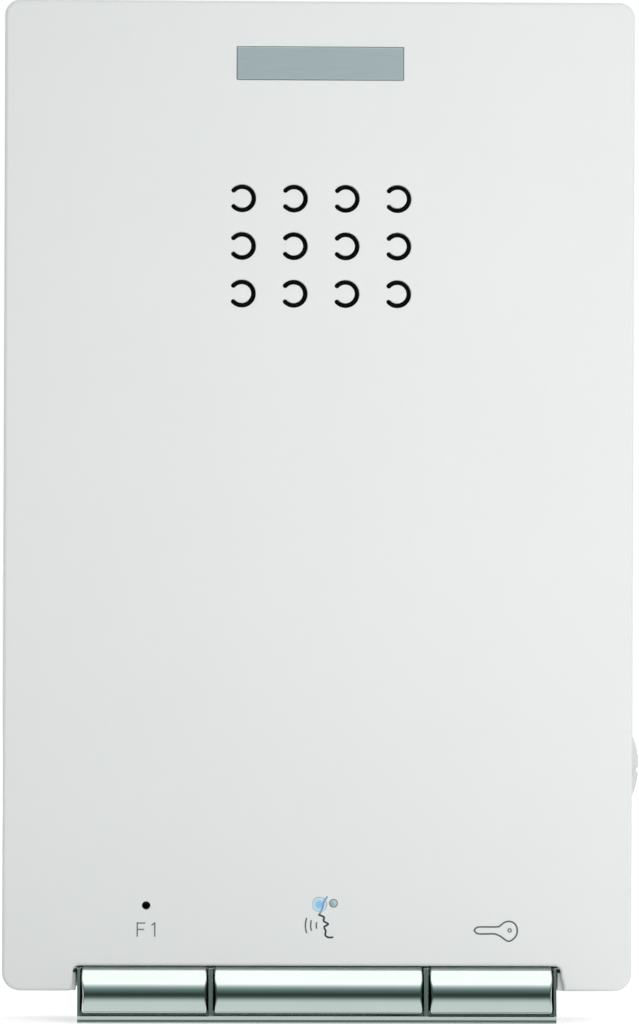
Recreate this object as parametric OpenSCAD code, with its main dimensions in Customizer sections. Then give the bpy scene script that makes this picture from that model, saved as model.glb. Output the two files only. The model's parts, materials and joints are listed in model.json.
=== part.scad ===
// Hands-free audio intercom for a wall: a flat cover over a base plate, with three rocker keys below.
// Lengths are in millimetres. Pieces are drawn with X to the right, Y up and Z out from the wall, then turned
// upright.

/* [Front cover] */
// Width of the front cover
cover_w = 90; // [84:0.5:100]
// Height of the front cover, without the key bar
cover_h = 141.4; // [136:0.2:160]
// Distance from the wall to the front face
cover_d = 22; // [21:0.5:28]
// Thickness of the side walls
cover_wall = 2; // [1.6:0.1:2.6]
// Thickness of the front wall
cover_face_t = 2.2; // [1.8:0.1:2.8]
// Shadow gap between the wall and the rear edge
wall_gap = 0.8; // [0.4:0.1:1.6]
// Corner radius at the top
corner_r_top = 2.2; // [1.6:0.1:5]
// Corner radius at the bottom
corner_r_bottom = 2.6; // [1.6:0.1:5]
// Rounding of the front edge
edge_r = 0.6; // [0.4:0.1:1.5]

/* [Sound slots] */
// Slots in a row
slot_cols = 4; // [2:1:4]
// Rows of slots
slot_rows = 3; // [1:1:4]
// Spacing of the slots along a row
slot_pitch_x = 7.4; // [5.5:0.1:8]
// Spacing of the rows
slot_pitch_y = 6.8; // [5.5:0.1:7.5]
// Radius at the middle of a slot
slot_r = 1.66; // [1.2:0.02:2.2]
// Width of a slot
slot_w = 0.68; // [0.5:0.02:0.9]
// Angle that a slot runs round
slot_sweep = 274; // [200:2:300]
// From the top edge down to the middle of the slots
slot_drop = 35; // [32:0.5:42]

/* [Badge] */
// Width of the badge plate
badge_w = 23.7; // [16:0.1:40]
// Height of the badge plate
badge_h = 4.6; // [3:0.1:7]
// Thickness of the badge plate
badge_t = 0.7; // [0.5:0.05:1.2]
// How far the badge stands out of the front
badge_proud = 0.15; // [0:0.05:0.4]
// From the top edge down to the middle of the badge
badge_drop = 8.9; // [6:0.1:14]

/* [Key bar] */
// Width of the key frame
bar_w = 68.5; // [60:0.5:74]
// How far the key bar hangs below the cover
bar_drop = 4.6; // [4:0.1:6]
// Radius of the keys' round front
key_r = 4.9; // [4.4:0.1:6]
// From the middle of the keys' front up to their top
key_rise = 3.9; // [3.5:0.1:4.1]
// Wall of a key
key_wall = 1.4; // [1:0.1:1.8]
// How far the keys stand out of the front
key_proud = 1.4; // [0.8:0.1:2]
// Bevel round the ends of the keys' front
key_edge = 0.6; // [0.3:0.1:1]
// Width of the talk key
talk_key_w = 29.7; // [22:0.1:36]
// From the middle of the cover out to the middle of the talk key
talk_key_x = 0.2; // [-1:0.05:1]
// Gap beside each key
key_gap = 0.25; // [0.15:0.05:0.5]
// Thickness of the dividers between the keys
divider_t = 0.6; // [0.5:0.1:1]
// Thickness of the frame's end walls
end_wall_t = 0.4; // [0.4:0.1:1.2]
// Height of the lower rail
rail_h = 0.95; // [0.8:0.05:1.8]
// Gap between the keys' lower edge and the rail
rail_gap = 0.45; // [0.4:0.05:0.8]
// Height of the notch in the cover
notch_h = 3.6; // [3.2:0.1:4.4]
// Gap between the key frame and the sides of the notch
notch_gap = 0.6; // [0.3:0.1:1.2]
// Gap between the keys and the top of the notch
key_head_gap = 0.24; // [0.2:0.02:0.5]

/* [Key hinge] */
// Diameter of the pivot rod
rod_d = 1.8; // [1.4:0.1:2.2]
// Clearance round the pivot rod in the keys
rod_clear = 0.05; // [0.03:0.01:0.1]
// From the top of the notch up to the pivot
pivot_rise = 4.7; // [4.4:0.1:5.6]
// From the inside of the front wall back to the pivot
pivot_inset = 2.2; // [2:0.1:3]
// Wall of an ear round the pivot
ear_wall = 0.9; // [0.7:0.1:1]
// Length of an ear along the pivot
ear_l = 2; // [1.2:0.1:3]

/* [Key switches] */
// Side of a switch body
switch_w = 4.5; // [3.5:0.1:4.8]
// Height of a switch body
switch_h = 3.8; // [3.4:0.1:4.5]
// Diameter of a plunger
plunger_d = 2.4; // [1.6:0.1:3]
// How far a plunger stands out of its body
plunger_proud = 1.2; // [0.8:0.1:1.6]
// From the pivot down to the plungers
switch_lever = 3.4; // [2.8:0.1:3.6]

/* [Speaker] */
// Outer diameter of the speaker
speaker_d = 40; // [38:0.5:44]
// Thickness of the foam gasket
gasket_t = 0.6; // [0.4:0.1:1]
// Width of the speaker's mounting flange
flange_w = 2.6; // [2:0.1:3]
// Depth of the basket
basket_h = 6.6; // [6:0.1:7]
// Outer diameter of the voice coil
coil_d = 10.6; // [9:0.1:12]
// Outer diameter of the ring magnet
magnet_d = 25; // [22:0.5:26]
// Thickness of the ring magnet
magnet_t = 2.4; // [1.8:0.1:3]
// Thickness of the pole plate
pole_plate_t = 1.2; // [1:0.1:1.6]
// Thickness of the yoke's disc
yoke_t = 1.4; // [1:0.1:1.8]
// Width of the strap behind the speaker
strap_w = 8; // [7:0.5:10]
// Thickness of the strap
strap_t = 1; // [0.8:0.1:1.4]

/* [Base and board] */
// Thickness of the base's floor
base_t = 2; // [1.6:0.1:2.4]
// Thickness of the base's rim
base_rim_t = 1.6; // [1.2:0.1:2]
// Gap between the base and the cover
fit_gap = 0.3; // [0.2:0.05:0.4]
// Height of the board posts
post_h = 4; // [3.4:0.1:4.4]
// Diameter of the board posts
post_d = 5.2; // [4.6:0.1:6]
// Gap between the board's upper edge and the speaker
board_gap = 7.9; // [6:0.1:12]
// Thickness of the board
board_t = 1.6; // [1.2:0.2:2]

/* [Wall fixing] */
// Distance between the two wall screws
screw_pitch = 60; // [46:0.5:64]
// Width of a wall screw slot
screw_slot_w = 4.2; // [3.4:0.1:5]
// Length of a wall screw slot
screw_slot_l = 9; // [6:0.5:12]
// Width of the cable window
cable_w = 30; // [14:1:34]
// Height of the cable window
cable_h = 20; // [10:1:20]

/* [Volume wheel] */
// Diameter of the thumbwheel
wheel_d = 22; // [18:0.5:24]
// Thickness of the thumbwheel
wheel_t = 3; // [2:0.1:4]
// How far the thumbwheel stands out of the side
wheel_proud = 1.55; // [0.8:0.05:2]
// From the bottom edge up to the thumbwheel's middle
wheel_rise = 32; // [30:0.5:40]
// Gap round the thumbwheel
wheel_gap = 0.5; // [0.3:0.1:0.8]
// Grip grooves round the rim
grip_count = 12; // [6:1:18]
// Diameter of a grip groove
grip_d = 0.8; // [0.6:0.1:1.6]
// Diameter of the volume control's body
pot_d = 8.4; // [7:0.2:10]
// Height of the volume control's body
pot_h = 2.2; // [1.8:0.1:3]
// Diameter of the volume control's shaft
pot_shaft_d = 3; // [2:0.1:4]

/* [Microphone and lamp] */
// From the middle of the cover out to the microphone
mic_x = -24.45; // [-28:0.05:-22.5]
// From the pivot rod up to the microphone's boot
mic_rise = 0.3; // [0.3:0.1:4]
// Diameter of the microphone hole
mic_hole_d = 1.2; // [0.8:0.1:2]
// Diameter of the microphone capsule
capsule_d = 4; // [3:0.1:4.4]
// Height of the microphone capsule
capsule_h = 2.2; // [1.2:0.1:3]
// From the middle of the cover out to the talk lamp
lamp_x = 0.3; // [-6:0.1:6]
// From the pivot rod up to the lamp's collar
lamp_rise = 0.65; // [0.3:0.05:4]
// Diameter of the lamp window
lamp_d = 2; // [1.2:0.1:3]

/* [Terminals] */
// Number of wire terminals
terminal_ways = 4; // [2:1:5]
// Spacing of the wire terminals
terminal_pitch = 5.08; // [5:0.02:6]
// Height of the terminal block
terminal_h = 10; // [9.5:0.1:11]
// Depth of the terminal block
terminal_d = 8.4; // [7.8:0.1:10]

/* [Hidden] */
$fn = 64;

// Colours
WHITE = "#e8eae9";
PALE_GREY = "#a2aeb0";
CHROME = "#b9c4bf";
STEEL = "#8d9294";
BLACK = "#1d1e20";
BOARD_GREEN = "#1f6b45";
COPPER = "#b4703c";
TERMINAL_GREEN = "#3d8f4e";
LEAD_RED = "#a4332c";
LAMP_BLUE = "#9fd2ea";

// Small steps: how far joined shapes run into each other, and how far a cut runs past a face
lap = 0.5;
past = 1;

// Plain screws: shank, pilot hole and head
small_shank_r = 1.2;
small_pilot_r = 1.25;
small_hole_r = 1.5;
small_head_r = 2.2;
small_head_h = 1.4;
drive_w = 0.6;
drive_depth = 0.6;
pilot_spare = 0.4;

// Levels of the cover
top_y = cover_h / 2;
bottom_y = -cover_h / 2;
face_z = cover_d - cover_face_t;
cavity_w = cover_w - 2 * cover_wall;
cavity_h = cover_h - 2 * cover_wall;
cavity_r = 1.2;
slot_y = top_y - slot_drop;
badge_y = top_y - badge_drop;
badge_back = cover_d + badge_proud - badge_t;
badge_clear = 0.1;

// Speaker, from its front face backwards
speaker_r = speaker_d / 2;
speaker_front = face_z - gasket_t;
flange_t = 0.8;
flange_z = speaker_front - flange_t;
flange_in = speaker_r - flange_w;
rim_t = 0.8;
rim_in = flange_in - rim_t;
rim_ledge = 1.4;
basket_floor_t = 0.8;
basket_z = speaker_front - basket_h;
coil_r = coil_d / 2;
coil_t = 0.4;
coil_gap = 0.4;
coil_rise = 2.4;
coil_top = basket_z + coil_rise;
cone_t = 0.3;
cone_gap = 0.2;
cone_fold = 0.6;
cone_lap = 0.1;
dome_rise = 1.3;
pole_plate_z = basket_z - pole_plate_t;
magnet_z = pole_plate_z - magnet_t;
magnet_r = magnet_d / 2;
magnet_bore_gap = 1.2;
plate_inset = 1;
plate_r = magnet_r - plate_inset;
basket_floor_r = magnet_r + cone_t;
basket_slope = 0.6;
speaker_back = magnet_z - yoke_t;
collar_gap = 0.3;
collar_t = 1.2;
strap_boss_r = 3;
strap_boss_gap = 1;
strap_end = 1;
strap_x = speaker_r + collar_gap + collar_t + strap_boss_r + strap_boss_gap;
strap_screw_l = 7;
cloth_t = 0.3;
cloth_gap = 0.4;
strip_w = 7;
strip_h = 2;
strip_t = 1.2;
strip_inset = 0.6;
strip_y = slot_y - speaker_r + strip_inset;

// Levels of the base and the board
base_w = cavity_w - 2 * fit_gap;
base_h = cavity_h - 2 * fit_gap;
base_r = 1;
rim_gap = 0.4;
board_side_gap = 1.5;
board_low_gap = 0.5;
board_z = base_t + post_h;
rim_z = board_z - rim_gap;
board_top = board_z + board_t;
board_w = cavity_w - 2 * board_side_gap;
board_low = bottom_y + cover_wall + board_low_gap;
board_high = slot_y - speaker_r - board_gap;
post_inset = 4;
post_low = 6.2;
post_high = 5;
post_floor = 1;
post_x = board_w / 2 - post_inset;
post_ys = [board_low + post_low, board_high - post_high];
cable_gap = 4.5;
cable_y = board_high + cable_gap + cable_h / 2;

// Keys: the round front's middle, its lower edge and the web that carries it
notch_y = bottom_y + notch_h;
notch_flare = 0.3;
notch_corner = 1;
pocket_gap = 0.2;
rebate_d = 1.4;
key_y = notch_y - key_head_gap - key_rise;
key_z = cover_d + key_proud - key_r;
bar_y = bottom_y - bar_drop;
rail_y = bar_y + rail_h;
key_low = rail_y + rail_gap;
key_high = key_y + key_rise;
web_t = 1.6;
web_inset = 1.8;
web_front = face_z - web_inset;
web_back = web_front - web_t;
rod_r = rod_d / 2;
rod_end_gap = 0.1;
pivot_y = notch_y + pivot_rise;
pivot_z = face_z - pivot_inset;
ear_r = rod_r + rod_clear + ear_wall;
web_high = pivot_y - ear_r;
key_end_t = 1.2;
divider_reach = talk_key_w / 2 + key_gap + divider_t / 2;
divider_xs = [talk_key_x - divider_reach, talk_key_x + divider_reach];
divider_side = divider_t / 2 + key_gap;
side_key_out = bar_w / 2 - end_wall_t - key_gap;
key_spans = [
    [-side_key_out, divider_xs[0] - divider_side],
    [divider_xs[0] + divider_side, divider_xs[1] - divider_side],
    [divider_xs[1] + divider_side, side_key_out]
];
key_xs = [for (span = key_spans) (span[0] + span[1]) / 2];
rest_gap = 0.05;

// Switches, and the stops on the cover that the keys rest against
switch_y = pivot_y - switch_lever;
plunger_top = board_top + switch_h + plunger_proud;
plunger_l = 3.4;
plunger_clear = 0.05;
plunger_room = 0.6;
nub_r = 0.8;
nub_neck = 1.4;
nub_l = 2;
stop_w = 3;
stop_h = 1.2;

// Key frame, hung from two lugs that stand over its dividers
frame_sink = 0.1;
frame_depth = 7.5;
frame_back = key_z - frame_depth;
frame_back_t = 1.2;
frame_face_gap = 0.4;
frame_front = face_z - frame_face_gap;
frame_reach = 4.9;
frame_high = pivot_y + frame_reach;
wall_top = key_high - frame_sink;
wall_lean = 0.8;
rail_proud = 0.4;
rail_front = cover_d + rail_proud;
rail_slope = 0.25;
rail_edge = 0.45;
rail_foot = 0.2;
rail_foot_d = 0.12;
rail_face = [
    [rail_y, rail_front], [bar_y + rail_edge, rail_front - rail_slope],
    [bar_y + rail_foot, rail_front - rail_slope], [bar_y, rail_front - rail_slope - rail_foot_d]
];
sill_rise = 0.7;
sill_t = 0.7;
sill_out = 1;
sill_lean = 0.14;
sill_front = key_z + sill_out;
sill_gap = 0.4;
lug_half = 3;
lug_root = 2;
lug_t = 1.5;
lug_y = frame_high + lug_half;
lug_boss_r = 2.75;
lug_boss_h = 5;
lug_z = face_z - lug_boss_h;
lug_screw_l = 5.4;

// Volume wheel
wheel_r = wheel_d / 2;
wheel_lift = 0.4;
wheel_x = cover_w / 2 + wheel_proud - wheel_r;
wheel_y = bottom_y + wheel_rise;
wheel_z = board_top + pot_h + wheel_lift;
pot_shaft_r = pot_shaft_d / 2;
pot_clear = 0.05;
pot_floor = 0.6;
pot_seat = 0.1;
tab_z = wheel_z - wheel_gap;
tab_board_gap = 0.5;
tab_inset = 0.1;

// Microphone and lamp
boot_wall = 0.65;
boot_clear = 0.05;
boot_seat = 0.1;
boot_hole_gap = 0.1;
boot_r = capsule_d / 2 + boot_clear + boot_wall;
mic_y = pivot_y + rod_r + mic_rise + boot_r;
lamp_w = 2;
lamp_l = 1.2;
lamp_h = 0.8;
pipe_r = lamp_d / 2;
pipe_clear = 0.05;
pipe_step = 0.6;
pipe_lamp_gap = 0.2;
pipe_seat = 0.1;
pipe_collar_t = 0.9;
pipe_collar_h = 4;
pipe_collar_r = pipe_r + pipe_step + pipe_clear + pipe_collar_t;
lamp_y = pivot_y + rod_r + lamp_rise + pipe_collar_r;

// Speaker plug and its leads
header_inset = 19.5;
header_drop = 5;
header_w = 6;
header_d = 4.5;
header_h = 2;
header_x = board_w / 2 - header_inset;
header_y = board_high - header_drop;
pin_r = 0.32;
pin_l = 2.6;
pin_clear = 0.04;
pin_room = 0.2;
plug_h = 4;
lead_r = 0.5;
lead_gap = 2.5;
lead_sag = 4;
lead_rings = 16;
lead_sides = 8;

// Chips and capacitors
chip_lift = 0.1;
chip_leg_t = 0.3;
chip_leg_inset = 0.4;
control_x = -6;
control_rise = 42;
control_w = 10;
control_t = 1.5;
control_leg = 1;
amplifier_w = 5;
amplifier_h = 4;
amplifier_t = 1.6;
amplifier_leg = 0.9;
amplifier_shift = 8;
amplifier_drop = 17;
amplifier_x = header_x - amplifier_shift;
amplifier_y = header_y - amplifier_drop;
capacitor_r = 4;
capacitor_h = 10;
capacitor_foot = 1.2;
capacitor_groove = 0.4;
capacitor_neck = 0.3;
capacitor_inset = 15.5;
capacitor_drop = 15;
capacitor_pitch = 11;

// Terminals
terminal_w = terminal_ways * terminal_pitch;
terminal_inset = 0.6;
terminal_y = board_high - terminal_inset - terminal_d;
terminal_mid = terminal_y + terminal_d / 2;
cage_w = 3.8;
cage_d = 4.6;
cage_lift = 1.6;
cage_h = 3.9;
cage_z = board_top + cage_lift;
cage_top = cage_z + cage_h;
well_r = 1.9;
well_clear = 0.15;
wire_r = 1.3;
wire_rise = 2;
wire_z = cage_z + wire_rise;
terminal_head_h = 2.6;
terminal_head_drop = 0.8;
terminal_head_z = board_top + terminal_h - terminal_head_drop - terminal_head_h;
terminal_tip_rise = 3;
terminal_tip_z = cage_z + terminal_tip_rise;
clamp_clear = 0.1;
clamp_t = 0.6;

// Snaps along the two long sides
snap_drop = 25;
snap_rise = 58;
snap_ys = [top_y - snap_drop, bottom_y + snap_rise];
snap_l = 8;
snap_d = 0.7;
snap_z = 3;
snap_t = 1.6;
snap_lead = 0.2;
snap_room = 0.3;

// Points of a rectangle with rounded corners
function arc_points(c, r, from, steps = 6) =
    [for (i = [0:steps]) c + r * [cos(from + 90 * i / steps), sin(from + 90 * i / steps)]];
function round_rect(w, h, r) = concat(
    arc_points([w / 2 - r, h / 2 - r], r, 0),
    arc_points([r - w / 2, h / 2 - r], r, 90),
    arc_points([r - w / 2, r - h / 2], r, 180),
    arc_points([w / 2 - r, r - h / 2], r, 270)
);

module plate(w, h, r, z0, z1) translate([0, 0, z0]) linear_extrude(z1 - z0) polygon(round_rect(w, h, r));

// A box given by two opposite corners
module block(a, b) translate(a) cube(b - a);

// A box given by its middle and its size in X and Y
module pad(x, y, w, h, z0, z1) block([x - w / 2, y - h / 2, z0], [x + w / 2, y + h / 2, z1]);

module disc(x, y, r, z0, z1) translate([x, y, z0]) cylinder(r = r, h = z1 - z0);

module ring(x, y, r0, r1, z0, z1) difference() {
    disc(x, y, r1, z0, z1);
    disc(x, y, r0, z0 - past, z1 + past);
}

// A shape drawn in Y and Z, drawn out along X
module along_x(x0, x1) translate([x0, 0, 0]) rotate([90, 0, 90]) linear_extrude(x1 - x0) children();

// A rod along X
module rod_x(x0, x1, y, z, r) translate([x0, y, z]) rotate([0, 90, 0]) cylinder(r = r, h = x1 - x0);

// A screw that stands on z and points to +Z, its head below
module small_screw(x, y, z, l) difference() {
    union() {
        disc(x, y, small_head_r, z - small_head_h, z);
        disc(x, y, small_shank_r, z - lap, z + l);
    }
    drive_slot(x, y, z - small_head_h - past, z - small_head_h + drive_depth);
}

module drive_slot(x, y, z0, z1) pad(x, y, 2 * (small_head_r + past), drive_w, z0, z1);

// Turns the drawing upright, with its back to the wall
module on_wall() rotate([90, 0, 0]) children();

// A corner of the cover: a post whose front edge is rounded
module cover_corner(r) rotate_extrude($fn = 32) polygon(concat(
    [[0, wall_gap], [r, wall_gap]],
    [for (a = [0:18:90]) [r - edge_r * (1 - cos(a)), cover_d - edge_r * (1 - sin(a))]],
    [[0, cover_d]]
));

// The cover's outside, drawn tight over its four corners
module cover_block() {
    corners = [
        [cover_w / 2, top_y, corner_r_top], [-cover_w / 2, top_y, corner_r_top],
        [cover_w / 2, bottom_y, corner_r_bottom], [-cover_w / 2, bottom_y, corner_r_bottom]
    ];
    hull() for (c = corners)
        translate([c[0] - sign(c[0]) * c[2], c[1] - sign(c[1]) * c[2], 0]) cover_corner(c[2]);
}

// One sound slot: a C that opens to the left
module sound_slot() rotate([0, 0, -slot_sweep / 2])
    rotate_extrude(angle = slot_sweep)
        translate([slot_r - slot_w / 2, 0]) square([slot_w, cover_face_t + 2 * past]);

module sound_slots() for (i = [0:slot_cols - 1], j = [0:slot_rows - 1])
    translate([
        (i - (slot_cols - 1) / 2) * slot_pitch_x,
        slot_y + (j - (slot_rows - 1) / 2) * slot_pitch_y,
        face_z - past
    ]) sound_slot();

// The opening in the lower edge that the key bar hangs through: a close pocket inside a shallow flared rebate
module key_notch() {
    close = bar_w / 2 + pocket_gap;
    half = bar_w / 2 + notch_gap;
    corner_y = notch_y - notch_corner;
    z0 = frame_back - notch_gap / 2;
    translate([0, 0, z0]) linear_extrude(cover_d + past - z0) polygon([
        [-close, bottom_y - past], [close, bottom_y - past], [close, corner_y], [half, corner_y],
        [half, notch_y], [-half, notch_y], [-half, corner_y], [-close, corner_y]
    ]);
    translate([0, 0, cover_d - rebate_d]) linear_extrude(rebate_d + past) polygon([
        [-half - notch_flare, bottom_y - past], [half + notch_flare, bottom_y - past],
        [half, notch_y], [-half, notch_y]
    ]);
}

module cover_bosses() {
    wall_in = face_z + lap;
    for (s = [-1, 1]) {
        disc(s * strap_x, slot_y, strap_boss_r, speaker_back, wall_in);
    }
    for (x = divider_xs) disc(x, lug_y, lug_boss_r, lug_z, wall_in);
    collar_r = speaker_r + collar_gap;
    ring(0, slot_y, collar_r, collar_r + collar_t, flange_z, wall_in);
    disc(lamp_x, lamp_y, pipe_collar_r, face_z - pipe_collar_h, wall_in);
    for (x = key_xs) pad(x, switch_y, stop_w, stop_h, web_front + rest_gap, wall_in);
}

module front_cover() color(WHITE) difference() {
    union() {
        difference() {
            cover_block();
            plate(cavity_w, cavity_h, cavity_r, wall_gap - past, face_z);
        }
        cover_bosses();
    }
    sound_slots();
    pad(0, badge_y, badge_w + 2 * badge_clear, badge_h + 2 * badge_clear, badge_back, cover_d + past);
    disc(mic_x, mic_y, mic_hole_d / 2, face_z - past, cover_d + past);
    disc(lamp_x, lamp_y, pipe_r + pipe_clear, face_z - past, cover_d + past);
    disc(lamp_x, lamp_y, pipe_r + pipe_step + pipe_clear, face_z - pipe_collar_h - past, face_z);
    for (x = divider_xs)
        disc(x, lug_y, small_pilot_r, lug_z - past, lug_z + lug_screw_l - lug_t + pilot_spare);
    key_notch();
    disc(wheel_x, wheel_y, wheel_r + wheel_gap, wall_gap - past, wheel_z + wheel_t + wheel_gap);
    for (s = [-1, 1]) {
        disc(s * strap_x, slot_y, small_pilot_r, speaker_back - past, speaker_back + strap_screw_l);
        for (y = snap_ys) pad(
            s * cavity_w / 2, y, 2 * (snap_d - fit_gap + snap_room), snap_l + 2 * snap_room,
            snap_z - snap_room, snap_z + snap_t + snap_room);
    }
}

// Bumps on the base that click into the cover's pockets
module base_snaps() for (s = [-1, 1], y = snap_ys)
    translate([0, y + snap_l / 2, 0]) rotate([90, 0, 0]) linear_extrude(snap_l) polygon([
        [s * (base_w / 2 - lap), snap_z], [s * (base_w / 2 + snap_d), snap_z + snap_lead],
        [s * (base_w / 2 + snap_d), snap_z + snap_t / 2], [s * (base_w / 2 - lap), snap_z + snap_t]
    ]);

// Fills the cover's wheel slot behind the wheel
module wheel_tab() intersection() {
    disc(wheel_x, wheel_y, wheel_r + wheel_gap - fit_gap, 0, tab_z);
    block([board_w / 2 + tab_board_gap, wheel_y - wheel_d, 0],
        [cover_w / 2 - tab_inset, wheel_y + wheel_d, tab_z]);
}

module wall_slot(x) {
    run = screw_slot_l - screw_slot_w;
    pad(x, cable_y, run, screw_slot_w, -past, base_t + past);
    for (s = [-1, 1]) disc(x + s * run / 2, cable_y, screw_slot_w / 2, -past, base_t + past);
}

module rear_base() color(WHITE) difference() {
    union() {
        plate(base_w, base_h, base_r, 0, base_t);
        difference() {
            plate(base_w, base_h, base_r, base_t - lap, rim_z);
            plate(base_w - 2 * base_rim_t, base_h - 2 * base_rim_t, base_r, base_t - past, rim_z + past);
        }
        for (s = [-1, 1], y = post_ys) disc(s * post_x, y, post_d / 2, base_t - lap, board_z);
        base_snaps();
        wheel_tab();
    }
    pad(0, cable_y, cable_w, cable_h, -past, base_t + past);
    for (s = [-1, 1]) {
        wall_slot(s * screw_pitch / 2);
        for (y = post_ys) disc(s * post_x, y, small_pilot_r, post_floor, board_z + past);
    }
}

module badge_plate() color(PALE_GREY) pad(0, badge_y, badge_w, badge_h, badge_back, cover_d + badge_proud);

module grille_cloth() color(BLACK) disc(0, slot_y, flange_in - cloth_gap, face_z - cloth_t, face_z);

// Speaker pieces that turn round the same axis
module speaker_turned() translate([0, slot_y, 0]) rotate_extrude() children();

module speaker_gasket() color(BLACK) ring(0, slot_y, flange_in, speaker_r, speaker_front, face_z);

module speaker_frame() color(STEEL) speaker_turned() {
    hole = coil_r + coil_gap;
    polygon([
        [speaker_r, speaker_front], [speaker_r, flange_z], [flange_in, flange_z], [basket_floor_r, basket_z],
        [hole, basket_z], [hole, basket_z + basket_floor_t],
        [basket_floor_r - basket_slope, basket_z + basket_floor_t],
        [rim_in - rim_ledge, flange_z], [rim_in, flange_z], [rim_in, speaker_front]
    ]);
}

module speaker_cone() color(BLACK) speaker_turned() {
    rim = rim_in - cone_gap;
    fold = rim_in - rim_ledge - cone_fold;
    polygon([
        [rim, flange_z], [rim, flange_z + cone_t], [fold, flange_z + cone_t],
        [coil_r + cone_lap, coil_top + cone_t], [0, coil_top + cone_t + dome_rise],
        [0, coil_top + dome_rise], [coil_r - cone_lap, coil_top], [fold, flange_z]
    ]);
}

module speaker_voice_coil() color(COPPER)
    ring(0, slot_y, coil_r - coil_t, coil_r, pole_plate_z, coil_top);

module speaker_pole_plate() color(STEEL)
    ring(0, slot_y, coil_r + coil_gap, plate_r, pole_plate_z, basket_z);

module speaker_magnet() color(BLACK)
    ring(0, slot_y, coil_r + coil_gap + magnet_bore_gap, magnet_r, magnet_z, pole_plate_z);

module speaker_yoke() color(STEEL) {
    disc(0, slot_y, plate_r, speaker_back, magnet_z);
    disc(0, slot_y, coil_r - coil_t - coil_gap, magnet_z - lap, basket_z);
}

module speaker_terminal_strip() color(COPPER)
    block([-strip_w / 2, strip_y, flange_z - strip_t], [strip_w / 2, strip_y + strip_h, flange_z]);

module speaker_strap() color(STEEL) difference() {
    pad(0, slot_y, 2 * (strap_x + strap_boss_r + strap_end), strap_w, speaker_back - strap_t, speaker_back);
    for (s = [-1, 1])
        disc(s * strap_x, slot_y, small_hole_r, speaker_back - strap_t - past, speaker_back + past);
}

module speaker_strap_screws() color(STEEL)
    for (s = [-1, 1]) small_screw(s * strap_x, slot_y, speaker_back - strap_t, strap_screw_l);

// The two speaker leads: each falls from the strip and curves down into the plug
function lead_point(a, b, t) = pow(1 - t, 3) * a + 3 * t * pow(1 - t, 2) * (a - [0, 0, lead_sag])
    + 3 * t * t * (1 - t) * (b + [0, 0, lead_sag]) + t * t * t * b;

function unit(v) = v / norm(v);

module lead(a, b) {
    side = unit(cross(b - a, [0, 0, 1]));
    step = 1 / (lead_rings - 1);
    turn = 360 / lead_sides;
    points = [for (i = [0:lead_rings - 1])
        let (
            t = i * step,
            ends = i == 0 || i == lead_rings - 1,
            along = lead_point(a, b, t + step / 2) - lead_point(a, b, t - step / 2),
            ahead = unit(ends ? [0, 0, -1] : along),
            up = cross(ahead, side)
        )
        for (k = [0:lead_sides - 1])
            lead_point(a, b, t) + lead_r * (cos(turn * k) * side + sin(turn * k) * up)];
    last = (lead_rings - 1) * lead_sides;
    faces = concat(
        [[for (k = [0:lead_sides - 1]) k]],
        [[for (k = [0:lead_sides - 1]) last + lead_sides - 1 - k]],
        [for (i = [0:lead_rings - 2], k = [0:lead_sides - 1])
            let (n = (k + 1) % lead_sides, r = i * lead_sides)
            each [[r + k, r + lead_sides + k, r + n], [r + n, r + lead_sides + k, r + lead_sides + n]]]
    );
    polyhedron(points, faces);
}

module speaker_leads() color(LEAD_RED) for (s = [-1, 1]) lead(
    [s * lead_gap / 2, strip_y + strip_h / 2, flange_z - strip_t],
    [header_x + s * lead_gap / 2, header_y, board_top + header_h + plug_h]
);

module speaker_header() color(WHITE) {
    z = board_top + header_h;
    pad(header_x, header_y, header_w, header_d, board_top, z);
    for (s = [-1, 1]) disc(header_x + s * lead_gap / 2, header_y, pin_r, board_top, z + pin_l);
}

module speaker_plug() color(BLACK) difference() {
    z = board_top + header_h;
    pad(header_x, header_y, header_w, header_d, z, z + plug_h);
    for (s = [-1, 1])
        disc(header_x + s * lead_gap / 2, header_y, pin_r + pin_clear, z - past, z + pin_l + pin_room);
}

module main_board() color(BOARD_GREEN) difference() {
    block([-board_w / 2, board_low, board_z], [board_w / 2, board_high, board_top]);
    for (s = [-1, 1], y = post_ys) disc(s * post_x, y, small_hole_r, board_z - past, board_top + past);
}

module board_screws() color(STEEL) for (s = [-1, 1], y = post_ys)
    translate([s * post_x, y, board_top]) rotate([180, 0, 0])
        small_screw(0, 0, 0, board_t + post_h - pilot_spare);

// A chip: a moulded body over a thin row of legs
module chip(x, y, w, h, t, leg) {
    pad(x, y, w, h, board_top + chip_lift, board_top + t);
    pad(x, y, w + 2 * leg, h - 2 * chip_leg_inset, board_top, board_top + chip_leg_t);
}

module control_chip() color(BLACK)
    chip(control_x, board_low + control_rise, control_w, control_w, control_t, control_leg);

module amplifier_chip() color(BLACK)
    chip(amplifier_x, amplifier_y, amplifier_w, amplifier_h, amplifier_t, amplifier_leg);

// Two round capacitors, each with a groove above its foot
module filter_capacitors() color(STEEL) for (i = [0, 1]) {
    x = capacitor_inset - board_w / 2;
    y = board_high - capacitor_drop - i * capacitor_pitch;
    groove = board_top + capacitor_foot;
    disc(x, y, capacitor_r, board_top, groove);
    disc(x, y, capacitor_r - capacitor_neck, groove - lap, groove + capacitor_groove + lap);
    disc(x, y, capacitor_r, groove + capacitor_groove, board_top + capacitor_h);
}

function terminal_x(i) = (i - (terminal_ways - 1) / 2) * terminal_pitch;

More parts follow.
